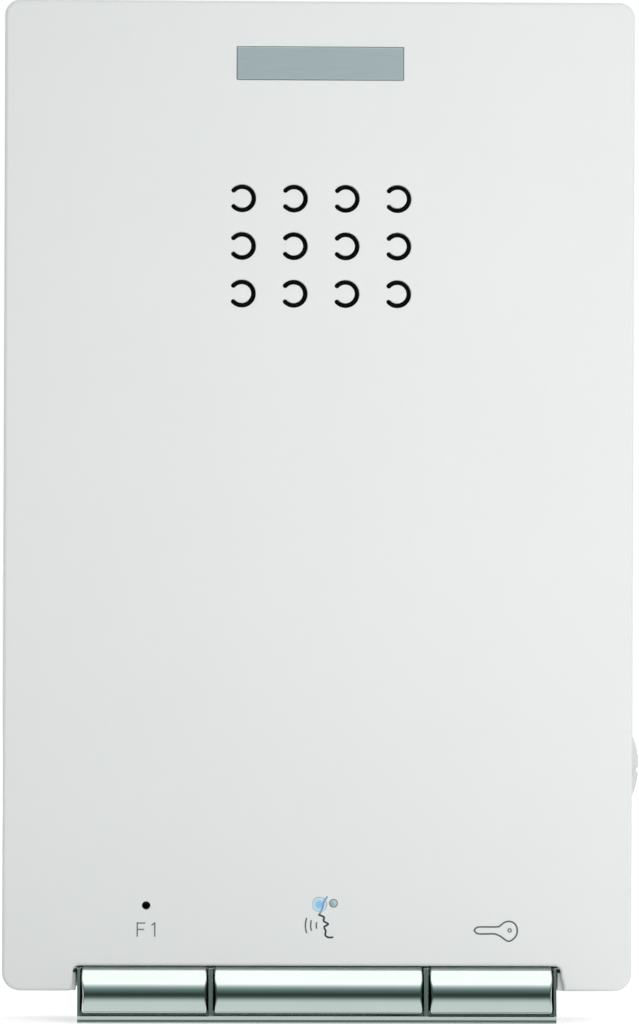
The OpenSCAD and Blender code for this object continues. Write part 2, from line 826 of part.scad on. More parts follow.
module terminal_block() color(TERMINAL_GREEN) difference() {
    pad(0, terminal_mid, terminal_w, terminal_d, board_top, board_top + terminal_h);
    for (i = [0:terminal_ways - 1]) {
        x = terminal_x(i);
        pad(x, terminal_mid, cage_w, cage_d, cage_z, cage_top);
        disc(x, terminal_mid, well_r, cage_top - lap, board_top + terminal_h + past);
        translate([x, terminal_mid, wire_z]) rotate([-90, 0, 0]) cylinder(r = wire_r, h = terminal_d);
    }
}

module terminal_screws() color(STEEL) for (i = [0:terminal_ways - 1]) difference() {
    x = terminal_x(i);
    head_top = terminal_head_z + terminal_head_h;
    union() {
        disc(x, terminal_mid, well_r - well_clear, terminal_head_z, head_top);
        disc(x, terminal_mid, small_shank_r, terminal_tip_z, terminal_head_z + lap);
    }
    drive_slot(x, terminal_mid, head_top - drive_depth, head_top + past);
}

module terminal_clamps() color(STEEL) for (i = [0:terminal_ways - 1])
    pad(terminal_x(i), terminal_mid, cage_w - 2 * clamp_clear, cage_d - 2 * clamp_clear,
        cage_z, cage_z + clamp_t);

// Side view of the frame's end walls and dividers: the front leans back from the rail up to the cover's notch
module frame_wall(x0, x1) along_x(x0, x1) polygon(concat([
    [bar_y, frame_back], [frame_high, frame_back], [frame_high, frame_front],
    [wall_top, frame_front], [wall_top, rail_front - wall_lean]
], rail_face));

// A sill on the rail, inside a key's hollow, that closes the view in below the key
module key_sill(span) along_x(span[0] + key_end_t + sill_gap, span[1] - key_end_t - sill_gap) polygon([
    [rail_y - lap, sill_front - sill_t], [rail_y + sill_rise, sill_front - sill_t],
    [rail_y + sill_rise, sill_front], [rail_y - lap, sill_front - sill_lean]
]);

module key_frame() color(CHROME) difference() {
    half = bar_w / 2;
    union() {
        for (x = divider_xs) frame_wall(x - divider_t / 2, x + divider_t / 2);
        frame_wall(-half, end_wall_t - half);
        frame_wall(half - end_wall_t, half);
        along_x(-half, half) polygon(concat([[bar_y, frame_back], [rail_y, frame_back]], rail_face));
        for (span = key_spans) key_sill(span);
        block([-half, bar_y, frame_back], [half, bottom_y + cover_wall - fit_gap, frame_back + frame_back_t]);
        for (x = divider_xs)
            block([x - lug_half, frame_high - lug_root, lug_z - lug_t],
                [x + lug_half, lug_y + lug_half, lug_z]);
    }
    rod_x(-half - past, half + past, pivot_y, pivot_z, rod_r + rod_clear / 2);
    for (x = divider_xs) disc(x, lug_y, small_hole_r, lug_z - lug_t - past, lug_z + past);
}

module key_frame_screws() color(STEEL)
    for (x = divider_xs) small_screw(x, lug_y, lug_z - lug_t, lug_screw_l);

module key_pivot_rod() color(STEEL)
    rod_x(rod_end_gap - bar_w / 2, bar_w / 2 - rod_end_gap, pivot_y, pivot_z, rod_r);

// The round front of a key, with bevelled ends
module key_barrel(x0, x1) translate([x0, key_y, key_z]) rotate([90, 0, 90]) rotate_extrude() polygon([
    [0, 0], [key_r - key_edge, 0], [key_r, key_edge],
    [key_r, x1 - x0 - key_edge], [key_r - key_edge, x1 - x0], [0, x1 - x0]
]);

// A rocker key: a hollow half-round front on a web, with an ear at each end and a nub over its switch
module rocker_key(span) color(CHROME) {
    x0 = span[0];
    x1 = span[1];
    middle = (x0 + x1) / 2;
    nub_z = plunger_top + rest_gap + nub_r;
    difference() {
        union() {
            intersection() {
                key_barrel(x0, x1);
                block([x0, key_low, key_z], [x1, key_high, key_z + key_r + past]);
            }
            block([x0, key_low, web_back], [x1, key_high, key_z]);
        }
        intersection() {
            rod_x(x0 + key_end_t, x1 - key_end_t, key_y, key_z, key_r - key_wall);
            block([x0, key_y - key_r, key_z - past], [x1, key_high - key_wall, key_z + key_r]);
        }
        block([x0 + key_end_t, key_low - past, web_back - past],
            [x1 - key_end_t, key_high - key_wall, key_z]);
    }
    difference() {
        union() {
            block([x0, key_high - key_wall, web_back], [x1, web_high, web_front]);
            for (x = [x0, x1 - ear_l]) {
                block([x, web_high - lap, web_back], [x + ear_l, pivot_y, web_front]);
                rod_x(x, x + ear_l, pivot_y, pivot_z, ear_r);
            }
            pad(middle, switch_y, nub_l, nub_neck, nub_z, web_back + lap);
            rod_x(middle - nub_l / 2, middle + nub_l / 2, switch_y, nub_z, nub_r);
        }
        rod_x(x0 - past, x1 + past, pivot_y, pivot_z, rod_r + rod_clear);
    }
}

module key_f1() rocker_key(key_spans[0]);

module key_talk() rocker_key(key_spans[1]);

module key_door() rocker_key(key_spans[2]);

module switch_body(x) color(BLACK) difference() {
    pad(x, switch_y, switch_w, switch_w, board_top, board_top + switch_h);
    disc(x, switch_y, plunger_d / 2 + plunger_clear, plunger_top - plunger_l - plunger_room,
        board_top + switch_h + past);
}

module switch_plunger(x) color(WHITE) disc(x, switch_y, plunger_d / 2, plunger_top - plunger_l, plunger_top);

module switch_body_f1() switch_body(key_xs[0]);
module switch_body_talk() switch_body(key_xs[1]);
module switch_body_door() switch_body(key_xs[2]);
module switch_plunger_f1() switch_plunger(key_xs[0]);
module switch_plunger_talk() switch_plunger(key_xs[1]);
module switch_plunger_door() switch_plunger(key_xs[2]);

module microphone_capsule() color(STEEL) disc(mic_x, mic_y, capsule_d / 2, board_top, board_top + capsule_h);

module microphone_boot() color(BLACK) difference() {
    disc(mic_x, mic_y, boot_r, board_top + boot_seat, face_z - boot_seat);
    disc(mic_x, mic_y, boot_r - boot_wall, board_top - past, board_top + capsule_h + boot_seat);
    disc(mic_x, mic_y, mic_hole_d / 2 + boot_hole_gap, board_top, face_z + past);
}

module talk_lamp() color(WHITE) pad(lamp_x, lamp_y, lamp_w, lamp_l, board_top, board_top + lamp_h);

module talk_light_pipe() color(LAMP_BLUE) {
    disc(lamp_x, lamp_y, pipe_r + pipe_step, board_top + lamp_h + pipe_lamp_gap, face_z - pipe_seat);
    disc(lamp_x, lamp_y, pipe_r, face_z - lap, cover_d);
}

module volume_pot_body() color(BLACK) difference() {
    disc(wheel_x, wheel_y, pot_d / 2, board_top, board_top + pot_h);
    disc(wheel_x, wheel_y, pot_shaft_r + pot_clear, board_top + pot_floor, board_top + pot_h + past);
}

module volume_pot_shaft() color(STEEL)
    disc(wheel_x, wheel_y, pot_shaft_r, board_top + pot_floor + pot_seat, wheel_z + wheel_t);

module volume_wheel() color(WHITE) difference() {
    disc(wheel_x, wheel_y, wheel_r, wheel_z, wheel_z + wheel_t);
    disc(wheel_x, wheel_y, pot_shaft_r + pot_clear / 2, wheel_z - past, wheel_z + wheel_t + past);
    for (i = [0:grip_count - 1]) {
        a = 360 * i / grip_count;
        reach = wheel_r + grip_d / 8;
        disc(wheel_x + reach * cos(a), wheel_y + reach * sin(a), grip_d / 2,
            wheel_z - past, wheel_z + wheel_t + past);
    }
}

on_wall() front_cover();
on_wall() rear_base();
on_wall() badge_plate();
on_wall() grille_cloth();
on_wall() speaker_gasket();
on_wall() speaker_frame();
on_wall() speaker_cone();
on_wall() speaker_voice_coil();
on_wall() speaker_pole_plate();
on_wall() speaker_magnet();
on_wall() speaker_yoke();
on_wall() speaker_terminal_strip();
on_wall() speaker_strap();
on_wall() speaker_strap_screws();
on_wall() speaker_leads();
on_wall() speaker_plug();
on_wall() speaker_header();
on_wall() main_board();
on_wall() board_screws();
on_wall() control_chip();
on_wall() amplifier_chip();
on_wall() filter_capacitors();
on_wall() terminal_block();
on_wall() terminal_screws();
on_wall() terminal_clamps();
on_wall() key_frame();
on_wall() key_frame_screws();
on_wall() key_pivot_rod();
on_wall() key_f1();
on_wall() key_talk();
on_wall() key_door();
on_wall() switch_body_f1();
on_wall() switch_body_talk();
on_wall() switch_body_door();
on_wall() switch_plunger_f1();
on_wall() switch_plunger_talk();
on_wall() switch_plunger_door();
on_wall() microphone_capsule();
on_wall() microphone_boot();
on_wall() talk_lamp();
on_wall() talk_light_pipe();
on_wall() volume_pot_body();
on_wall() volume_pot_shaft();
on_wall() volume_wheel();
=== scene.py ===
import json
import math

import bmesh
import bpy
from mathutils import Matrix, Vector


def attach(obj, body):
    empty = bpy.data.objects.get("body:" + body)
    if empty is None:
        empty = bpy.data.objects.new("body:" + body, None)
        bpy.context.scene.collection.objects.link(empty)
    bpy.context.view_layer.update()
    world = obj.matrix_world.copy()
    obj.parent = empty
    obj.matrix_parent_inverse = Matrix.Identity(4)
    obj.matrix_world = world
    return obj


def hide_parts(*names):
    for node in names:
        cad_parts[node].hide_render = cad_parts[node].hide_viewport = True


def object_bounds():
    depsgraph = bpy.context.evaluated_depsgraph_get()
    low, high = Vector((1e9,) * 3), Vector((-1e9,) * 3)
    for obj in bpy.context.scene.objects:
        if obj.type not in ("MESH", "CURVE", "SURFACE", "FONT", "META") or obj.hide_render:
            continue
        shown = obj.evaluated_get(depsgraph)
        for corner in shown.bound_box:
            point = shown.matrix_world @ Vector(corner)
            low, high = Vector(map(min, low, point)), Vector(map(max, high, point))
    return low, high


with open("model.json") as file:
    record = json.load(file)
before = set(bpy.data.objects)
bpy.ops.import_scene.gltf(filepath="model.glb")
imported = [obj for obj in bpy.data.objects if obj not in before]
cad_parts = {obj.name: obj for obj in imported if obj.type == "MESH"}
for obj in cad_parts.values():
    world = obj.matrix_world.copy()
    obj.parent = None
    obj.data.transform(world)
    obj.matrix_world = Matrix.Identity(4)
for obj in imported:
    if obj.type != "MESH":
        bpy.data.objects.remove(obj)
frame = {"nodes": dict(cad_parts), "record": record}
cad_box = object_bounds()

# Lengths below are in millimetres. A place is given as x to the right, up, and out from the wall.
MM = 0.001

# Front cover
COVER_W = 90.0
COVER_H = 141.4
COVER_OUT = 22.0
COVER_BACK = 0.8
FACE_IN = 19.8
WALL = 2.0
TOP_CORNER_R = 2.2
LOW_CORNER_R = 2.6
FRONT_EDGE_R = 0.6
CAVITY_R = 1.2
CORNER_STEPS = 10
EDGE_STEPS = 8
ROUND_STEPS = 48
COVER_EASE = 0.1
EASE_ANGLE = 35
EASE_STEPS = 2
FINE_EASE_STEPS = 3
PAST = 1.0
LAP = 0.5

# Sound slots, each a C that opens to the left
SLOT_COLUMNS = 4
SLOT_ROWS = 3
SLOT_PITCH_X = 7.4
SLOT_PITCH_UP = 6.8
SLOT_UP = 35.7
SLOT_R = 1.66
SLOT_W = 0.68
SLOT_SWEEP = 274.0
SLOT_STEPS = 36
SLOT_TIP_STEPS = 8

# Grille cloth
CLOTH_R = 17.0
CLOTH_T = 0.3
CLOTH_CLEAR = 0.02
CLOTH_RINGS = (0.5, 4.0, 8.0, 12.0)
THREAD_PITCH = 0.3
THREAD_DEPTH = 0.08

# Bosses inside the cover
STRAP_BOSS_X = 25.5
STRAP_BOSS_R = 3.0
STRAP_BOSS_OUT = 7.6
STRAP_PILOT_L = 7.0
LUG_BOSS_XS = (-15.2, 15.6)
LUG_BOSS_UP = -54.5
LUG_BOSS_R = 2.75
LUG_BOSS_OUT = 14.8
LUG_PILOT_L = 4.3
PILOT_R = 1.25
COLLAR_R = 20.3
COLLAR_T = 1.2
COLLAR_OUT = 18.4
STOP_W = 3.0
STOP_H = 1.2
STOP_OUT = 18.05

# Badge, microphone hole and lamp window
BADGE_W = 23.7
BADGE_H = 4.6
BADGE_UP = 61.8
BADGE_BACK = 21.45
BADGE_FRONT = 22.15
BADGE_CLEAR = 0.1
BADGE_CORNER_R = 0.3
BADGE_CORNER_STEPS = 5
BADGE_EASE = 0.12
MIC_X = -24.45
MIC_UP = -58.5
MIC_R = 0.6
LAMP_X = 0.3
LAMP_UP = -58.3
LAMP_R = 1.0
LAMP_HOLE_R = 1.05
LAMP_BORE_R = 1.65
LAMP_COLLAR_R = 2.55
LAMP_COLLAR_OUT = 15.8
LAMP_CORE_R = 0.35
LAMP_GLOW = 0.15

# Notch and key bar
NOTCH_HALF = 34.85
NOTCH_CORNER_R = 0.9
NOTCH_EDGE_R = 0.55
NOTCH_UP = -67.1
NOTCH_BACK = 10.7
LEFT_FLARE = ((35.3, -70.7), (35.17, -70.3), (34.85, -69.8))
RIGHT_FLARE = ((35.3, -70.7), (35.2, -69.6), (34.85, -68.5))
REBATE_BACK = 20.6
POCKET_HALF = 34.45
POCKET_UP = -68.1
KEY_UP = -71.24
KEY_OUT = 18.5
KEY_R = 4.9
KEY_RISE = 4.04
KEY_LOW = -73.9
LIP_R = 0.68
LIP_STEPS = 6
KEY_WALL = 1.4
KEY_END_T = 1.2
KEY_END_R = 0.3
KEY_END_DRAW = 0.17
KEY_END_SPAN = 30.0
KEY_ARC_STEPS = 40
WEB_BACK = 16.4
WEB_FRONT = 18.0
WEB_HIGH = -64.25
PIVOT_UP = -62.4
PIVOT_OUT = 17.6
EAR_R = 1.85
EAR_L = 2.0
ROD_HOLE_R = 0.95
NUB_UP = -65.8
NUB_OUT = 13.45
NUB_R = 0.8
NUB_W = 2.0
NUB_NECK = 1.4
KEY_EASE = 0.12
FRAME_HALF = 34.25
FRAME_EASE = 0.05
FRAME_EASE_ANGLE = 20
RAIL_UP = -74.35
SILL_RISE = 0.72
SILL_BACK = 18.78
SILL_FRONT = 19.53
SILL_LEAN = 0.09
SILL_INTO_WALL = 0.2
RELIEF_UP = -73.2
RELIEF_BACK = 18.2
RELIEF_FRONT = 20.6
# Lines along the rail's face, as up and out, and where they go: a higher slope over a deeper lower edge
RAIL_LINES = (
    ((-74.35, 22.4), (-74.25, 22.4)), ((-74.85, 22.15), (-74.75, 22.2)),
    ((-75.1, 22.15), (-75.15, 22.2)), ((-75.3, 22.03), (-75.3, 22.11)))
NEAR = 0.005
MERGE = 0.002
FLAT_ANGLE = 0.5
BASE_EASE = 0.25
KEY_SPANS = {"f1": (-33.6, -15.75), "talk": (-14.65, 15.05), "door": (16.15, 33.6)}

# Thumbwheel
WHEEL_X = 35.55
WHEEL_UP = -38.7
WHEEL_R = 11.0
WHEEL_BACK = 10.2
WHEEL_T = 3.0
WHEEL_GAP = 0.5
WHEEL_BORE_R = 1.525
GRIP_COUNT = 12
GRIP_R = 0.4
GRIP_REACH = 11.1
GRIP_TURN = -3.0
WHEEL_SIDES = 180
GRIP_SIDES = 24
WHEEL_EASE = 0.25

# Snap pockets in the side walls
SNAP_UPS = (45.7, -12.7)
SNAP_L = 8.6
SNAP_W = 1.4
SNAP_LOW = 2.7
SNAP_HIGH = 4.9

# Board tracks and the glass weave under them
TRACK_W = 0.6
TRACK_L = 11.0
TRACK_PITCH = 2.5
GLASS_PITCH = 0.4
MASK_DEPTH = 0.02

# Printed marks
INK_T = 0.03
INK_LIFT = INK_T / 6
EYE = (2.3, -58.12)
MOUTH = (1.6, -61.3)
BOW_HOLE = (27.5, -61.95)
SOUND_ARCS = ((1.75, 16), (2.55, 17), (3.3, 19))


def at(x, up, out):
    """A place on the station as a point of the frame, in metres."""
    return Vector((x * MM, -out * MM, up * MM))


def hex_colour(code):
    """Linear red, green, blue and alpha of an sRGB colour such as #e9ebea."""
    parts = [int(code[i:i + 2], 16) / 255 for i in (1, 3, 5)]
    return [c / 12.92 if c <= 0.04045 else ((c + 0.055) / 1.055) ** 2.4 for c in parts] + [1.0]


def add(tree, kind, sockets=None, **settings):
    """Adds a node with its settings; sockets gives an input its value, or the output that feeds it."""
    made = tree.nodes.new(kind)
    for key, value in settings.items():
        setattr(made, key, value)
    for key, value in (sockets or {}).items():
        if isinstance(value, bpy.types.NodeSocket):
            tree.links.new(value, made.inputs[key])
        else:
            made.inputs[key].default_value = value
    return made


def fresh_tree(holder):
    """The node tree of a material or world, emptied."""
    holder.use_nodes = True
    holder.node_tree.nodes.clear()
    return holder.node_tree


# Materials


def finish(name, colour, shade, rough, grain, depth, metal=0.0, texture="ShaderNodeTexNoise",
           stretch=(1.0, 1.0, 1.0), cloud=None, shader=None):
    """A finish with one fine pattern for its gloss and relief, its grain and depth in millimetres.
    Its colour runs from colour to shade with that pattern, or in soft clouds of the given size."""
    material = bpy.data.materials.new(name)
    tree = fresh_tree(material)
    place = add(tree, "ShaderNodeTexCoord").outputs["Object"]
    fine = add(tree, "ShaderNodeMapping", {
        "Vector": place, "Scale": [s / (grain * MM) for s in stretch]})
    pattern = add(tree, texture, {"Vector": fine.outputs["Vector"], "Scale": 1.0}).outputs[0]
    blend = pattern
    if cloud:
        blend = add(tree, "ShaderNodeTexNoise", {"Vector": place, "Scale": 1 / (cloud * MM)}).outputs[0]
    tint = add(tree, "ShaderNodeMix", {
        0: blend, 6: hex_colour(colour), 7: hex_colour(shade)}, data_type="RGBA")
    gloss = add(tree, "ShaderNodeMapRange", {"Value": pattern, "To Min": rough[0], "To Max": rough[1]})
    relief = add(tree, "ShaderNodeBump", {"Height": pattern, "Strength": 1.0, "Distance": depth * MM})
    surface = add(tree, "ShaderNodeBsdfPrincipled", {
        "Base Color": tint.outputs[2], "Roughness": gloss.outputs[0], "Normal": relief.outputs[0],
        "Metallic": metal, **(shader or {})})
    add(tree, "ShaderNodeOutputMaterial", {"Surface": surface.outputs[0]})
    return material


finishes = {
    # Injection-moulded ABS: an even, neutral white with a satin sheen from the fine grain of its mould.
    "white_abs": finish(
        "moulded white ABS", "#eaeceb", "#e7e9e8", rough=(0.42, 0.52), grain=0.3, depth=0.003,
        cloud=24),
    # The same ABS from a coarser, duller mould: flat and slightly greyer.
    "base_abs": finish(
        "matt moulded ABS", "#dfe1e0", "#d9dbda", rough=(0.55, 0.68), grain=0.5, depth=0.012, cloud=18),
    # Anodised aluminium, brushed along its length: short fine streaks and a grey-blue sheen.
    "badge_aluminium": finish(
        "brushed anodised aluminium", "#cddcdf", "#bfced1", rough=(0.46, 0.56), grain=0.12, depth=0.002,
        metal=0.6, stretch=(0.03, 1.0, 1.0)),
    # Closed-cell foam rubber: a dead black skin with pin-prick cells.
    "foam_rubber": finish(
        "closed-cell foam rubber", "#232425", "#151516", rough=(0.8, 0.95), grain=0.5, depth=0.06,
        texture="ShaderNodeTexVoronoi"),
    # Zinc-plated pressed steel: pale grey with cloudy patches and a soft mirror.
    "plated_steel": finish(
        "zinc-plated steel", "#c3c7c9", "#a9aeb1", rough=(0.28, 0.42), grain=0.2, depth=0.002,
        metal=1.0, cloud=6),
    # Pressed paper pulp: near black, with short fibres that break up the light.
    "paper_cone": finish(
        "pressed paper pulp", "#303030", "#1a1a1a", rough=(0.75, 0.92), grain=0.25, depth=0.03,
        stretch=(0.3, 1.0, 0.6)),
    # Enamelled copper wire, wound close: each turn is painted as a bright line with darker copper between
    # turns, a painted highlight and painted shade over the turns' relief, drawn three times as coarse.
    "copper": finish(
        "enamelled copper wire", "#c0713a", "#7e3d1d", rough=(0.2, 0.35), grain=0.36, depth=0.05,
        metal=1.0, texture="ShaderNodeTexWave", stretch=(0.01, 1.0, 0.01)),
    # Sintered ferrite: charcoal, dull, with fine pits.
    "ferrite": finish(
        "sintered ferrite", "#3a3b3e", "#29292c", rough=(0.6, 0.75), grain=0.3, depth=0.02, metal=0.3),
    # Resin-bonded paper board: brown, with a faint fibre.
    "terminal_strip_board": finish(
        "resin-bonded paper board", "#a9793f", "#8d6231", rough=(0.4, 0.55), grain=0.3, depth=0.01,
        stretch=(0.2, 1.0, 1.0)),
    # Zinc-plated screw steel: small turned marks and a bluish grey.
    "screw_steel": finish(
        "zinc-plated screw steel", "#c6cacd", "#9ba1a6", rough=(0.25, 0.4), grain=0.15, depth=0.004,
        metal=1.0),
    # Extruded PVC: red, glossy, with a slight drag along the wire.
    "lead_insulation": finish(
        "extruded red PVC", "#a8322b", "#8e2721", rough=(0.25, 0.4), grain=0.4, depth=0.006),
    # Moulded nylon: milky and waxy.
    "plug_nylon": finish(
        "moulded nylon", "#e6e3d8", "#dad6c8", rough=(0.35, 0.5), grain=0.3, depth=0.004,
        shader={"Subsurface Weight": 0.1}),
    # Moulded epoxy: matt black with a fine even tooth.
    "chip_epoxy": finish(
        "moulded epoxy", "#2a2a2c", "#1e1e20", rough=(0.55, 0.7), grain=0.12, depth=0.006),
    # Drawn aluminium can: fine lines along the draw, bright.
    "can_aluminium": finish(
        "drawn aluminium", "#d4d6d8", "#b9bcbf", rough=(0.22, 0.34), grain=0.12, depth=0.003, metal=1.0,
        stretch=(1.0, 0.05, 1.0)),
    # Moulded polyamide: leaf green with a satin skin.
    "terminal_polyamide": finish(
        "moulded green polyamide", "#3f9150", "#357f45", rough=(0.4, 0.55), grain=0.3, depth=0.006,
        cloud=5),
    # Satin chrome plate on ABS: a soft mirror with a cool cast and the slightest swell.
    "frame_chrome": finish(
        "satin chrome plate on the frame", "#d6dfda", "#ced8d3", rough=(0.24, 0.3), grain=5.0,
        depth=0.002, metal=1.0),
    # Bright chrome plate on ABS: a clear mirror with a cool cast, dulled a little by fingers.
    "key_chrome": finish(
        "bright chrome plate on the keys", "#dce6e1", "#d5dfda", rough=(0.06, 0.1), grain=6.0,
        depth=0.002, metal=1.0),
    # Ground steel rod: even grey with fine lines round it.
    "rod_steel": finish(
        "ground steel", "#c9cbcd", "#adb0b3", rough=(0.2, 0.32), grain=0.1, depth=0.003, metal=1.0,
        stretch=(1.0, 0.1, 0.1)),
    # Moulded polyester: black and satin.
    "switch_black": finish(
        "moulded black polyester", "#2b2b2c", "#202021", rough=(0.45, 0.6), grain=0.25, depth=0.006),
    # Moulded acetal: white and slippery.
    "plunger_white": finish(
        "moulded acetal", "#e4e4df", "#d9d9d3", rough=(0.3, 0.42), grain=0.3, depth=0.003),
    # Clear cast epoxy over a lamp chip: pale and glassy.
    "lamp_resin": finish(
        "cast clear epoxy", "#e9eee0", "#dfe6d3", rough=(0.08, 0.16), grain=0.5, depth=0.002,
        shader={"Coat Weight": 0.5}),
    # Satin ABS like the cover's, painted a shade greyer all over: painted shade for a rim that faces away
    # from the light.
    "wheel_abs": finish(
        "moulded wheel ABS", "#dee0df", "#d6d8d7", rough=(0.4, 0.52), grain=0.3, depth=0.004, cloud=3),
}


def acoustic_cloth():
    """Woven polyester: black threads over and under, which swallow most of the light.
    A wave repeats every 2 pi / 20 at a scale of 1."""
    material = bpy.data.materials.new("woven black polyester")
    tree = fresh_tree(material)
    place = add(tree, "ShaderNodeTexCoord").outputs["Object"]
    turns = 2 * math.pi / 20 / (THREAD_PITCH * MM)
    warp = add(tree, "ShaderNodeTexWave", {"Vector": place, "Scale": turns}, bands_direction="X")
    weft = add(tree, "ShaderNodeTexWave", {"Vector": place, "Scale": turns}, bands_direction="Z")
    weave = add(tree, "ShaderNodeMath", {
        0: warp.outputs["Fac"], 1: weft.outputs["Fac"]}, operation="MULTIPLY")
    tint = add(tree, "ShaderNodeMix", {
        0: weave.outputs[0], 6: hex_colour("#0a0a0a"), 7: hex_colour("#1d1d1e")}, data_type="RGBA")
    relief = add(tree, "ShaderNodeBump", {
        "Height": weave.outputs[0], "Strength": 1.0, "Distance": THREAD_DEPTH * MM})
    surface = add(tree, "ShaderNodeBsdfPrincipled", {
        "Base Color": tint.outputs[2], "Roughness": 0.9, "Normal": relief.outputs[0], "Sheen Weight": 0.1})
    add(tree, "ShaderNodeOutputMaterial", {"Surface": surface.outputs[0]})
    return material


def board_laminate():
    """Glass-epoxy board under green solder mask: paler tracks, and a fine glass weave."""
    material = bpy.data.materials.new("green solder mask on glass epoxy")
    tree = fresh_tree(material)
    place = add(tree, "ShaderNodeTexCoord").outputs["Object"]
    flat = add(tree, "ShaderNodeMapping", {"Vector": place, "Rotation": (math.radians(90), 0, 0)})
    tracks = add(tree, "ShaderNodeTexBrick", {
        "Vector": flat.outputs[0], "Scale": 1.0, "Mortar Size": TRACK_W / 2 * MM, "Mortar Smooth": 0.1,
        "Brick Width": TRACK_L * MM, "Row Height": TRACK_PITCH * MM,
        "Color1": hex_colour("#1f6a44"), "Color2": hex_colour("#1c623f"), "Mortar": hex_colour("#3b8a60")})
    glass = add(tree, "ShaderNodeTexNoise", {"Vector": place, "Scale": 1 / (GLASS_PITCH * MM)})
    height = add(tree, "ShaderNodeMath", {0: tracks.outputs["Fac"], 1: glass.outputs[0]}, operation="ADD")
    relief = add(tree, "ShaderNodeBump", {
        "Height": height.outputs[0], "Strength": 1.0, "Distance": MASK_DEPTH * MM})
    surface = add(tree, "ShaderNodeBsdfPrincipled", {
        "Base Color": tracks.outputs["Color"], "Roughness": 0.3, "Normal": relief.outputs[0],
        "Coat Weight": 0.2})
    add(tree, "ShaderNodeOutputMaterial", {"Surface": surface.outputs[0]})
    return material


def light_pipe():
    """Polished acrylic with a lit lamp behind it: blue in the middle, fading out towards its rim."""
    material = bpy.data.materials.new("lit blue acrylic")
    tree = fresh_tree(material)
    place = add(tree, "ShaderNodeTexCoord").outputs["Object"]
    middle = add(tree, "ShaderNodeMapping", {
        "Vector": place, "Location": -at(LAMP_X, LAMP_UP, COVER_OUT)})
    reach = add(tree, "ShaderNodeVectorMath", {0: middle.outputs[0]}, operation="LENGTH")
    spread = add(tree, "ShaderNodeMapRange", {
        "Value": reach.outputs["Value"], "From Min": LAMP_CORE_R * MM, "From Max": LAMP_R * MM})
    tint = add(tree, "ShaderNodeMix", {
        0: spread.outputs[0], 6: hex_colour("#86bcdc"), 7: hex_colour("#cbdde6")}, data_type="RGBA")
    surface = add(tree, "ShaderNodeBsdfPrincipled", {
        "Base Color": tint.outputs[2], "Roughness": 0.3, "Emission Color": tint.outputs[2],
        "Emission Strength": LAMP_GLOW})
    add(tree, "ShaderNodeOutputMaterial", {"Surface": surface.outputs[0]})
    return material


finishes["acoustic_cloth"] = acoustic_cloth()
finishes["board_laminate"] = board_laminate()
finishes["light_pipe_acrylic"] = light_pipe()
# Pad-printed ink: thin, matt and slightly uneven in its grey.
inks = {}
for hue, colour, shade, rough in (
        ("dark grey", "#343a3c", "#404648", (0.55, 0.7)), ("mid grey", "#7d8282", "#888d8d", (0.55, 0.7)),
        ("slate grey", "#5d6365", "#686e70", (0.55, 0.7)), ("blue", "#6f9fcd", "#7ba8d2", (0.5, 0.65)),
        ("pale teal", "#c4dfe8", "#bad8e2", (0.5, 0.65))):
    inks[hue] = finish("pad-printed " + hue + " ink", colour, shade, rough, grain=0.3, depth=0.002)


# Shapes


def new_piece(name, mesh):
    piece = bpy.data.objects.new(name, mesh)
    bpy.context.scene.collection.objects.link(piece)
    return piece


def drop(*pieces):
    for piece in pieces:
        bpy.data.objects.remove(piece)


def settle(piece):
    """Turns what a piece's modifiers make into its plain mesh."""
    graph = bpy.context.evaluated_depsgraph_get()
    made = bpy.data.meshes.new_from_object(
        piece.evaluated_get(graph), preserve_all_data_layers=True, depsgraph=graph)
    piece.modifiers.clear()
    piece.data = made


def loft(name, rings):
    """A closed solid through rings of points, with a flat cap on each end."""
    shape = bmesh.new()
    rows = [[shape.verts.new(point) for point in ring] for ring in rings]
    for low, high in zip(rows, rows[1:]):
        for i in range(len(low)):
            j = (i + 1) % len(low)
            shape.faces.new((low[i], low[j], high[j], high[i]))
    shape.faces.new(rows[0])
    shape.faces.new(rows[-1])
    bmesh.ops.recalc_face_normals(shape, faces=shape.faces)
    mesh = bpy.data.meshes.new(name)
    shape.to_mesh(mesh)
    shape.free()
    return new_piece(name, mesh)


def arc_line(x, up, r, start, end, steps=14):
    """Points along an arc, from start to end in degrees."""
    turns = [math.radians(start + (end - start) * i / steps) for i in range(steps + 1)]
    return [(x + r * math.cos(a), up + r * math.sin(a)) for a in turns]


def edge_round(r):
    """A rounded edge, from its side to its top: how far each step is drawn in, and how far below the top."""
    turns = [math.pi / 2 * i / EDGE_STEPS for i in range(EDGE_STEPS + 1)]
    return [(r * (1 - math.cos(a)), r * (1 - math.sin(a))) for a in turns]


def rounded(left, right, low, high, low_r, high_r, steps=CORNER_STEPS):
    """Outline of a rectangle with rounded corners, as x and up."""
    corners = (
        (right - high_r, high - high_r, high_r, 0), (left + high_r, high - high_r, high_r, 90),
        (left + low_r, low + low_r, low_r, 180), (right - low_r, low + low_r, low_r, 270))
    points = []
    for x, up, r, start in corners:
        points += arc_line(x, up, r, start, start + 90, steps)
    return points


def round_outline(x, up, r, steps=ROUND_STEPS):
    turns = [2 * math.pi * i / steps for i in range(steps)]
    return [(x + r * math.cos(a), up + r * math.sin(a)) for a in turns]


def prism(name, outline, back, front):
    """An outline in x and up, drawn out from the wall."""
    return loft(name, [[at(x, up, out) for x, up in outline] for out in (back, front)])


def box(name, left, right, low, high, back, front):
    return prism(name, [(left, low), (right, low), (right, high), (left, high)], back, front)


def disc(name, x, up, r, back, front):
    return prism(name, round_outline(x, up, r), back, front)


def bar(name, outline, left, right):
    """An outline in up and out, drawn along x."""
    return loft(name, [[at(x, up, out) for up, out in outline] for x in (left, right)])


def combine(piece, others, operation):
    """Adds other solids to a piece, or cuts them out of it, and removes them."""
    for other in others:
        step = piece.modifiers.new(other.name, "BOOLEAN")
        step.object = other
        step.operation = operation
        step.solver = "EXACT"
    settle(piece)
    drop(*others)


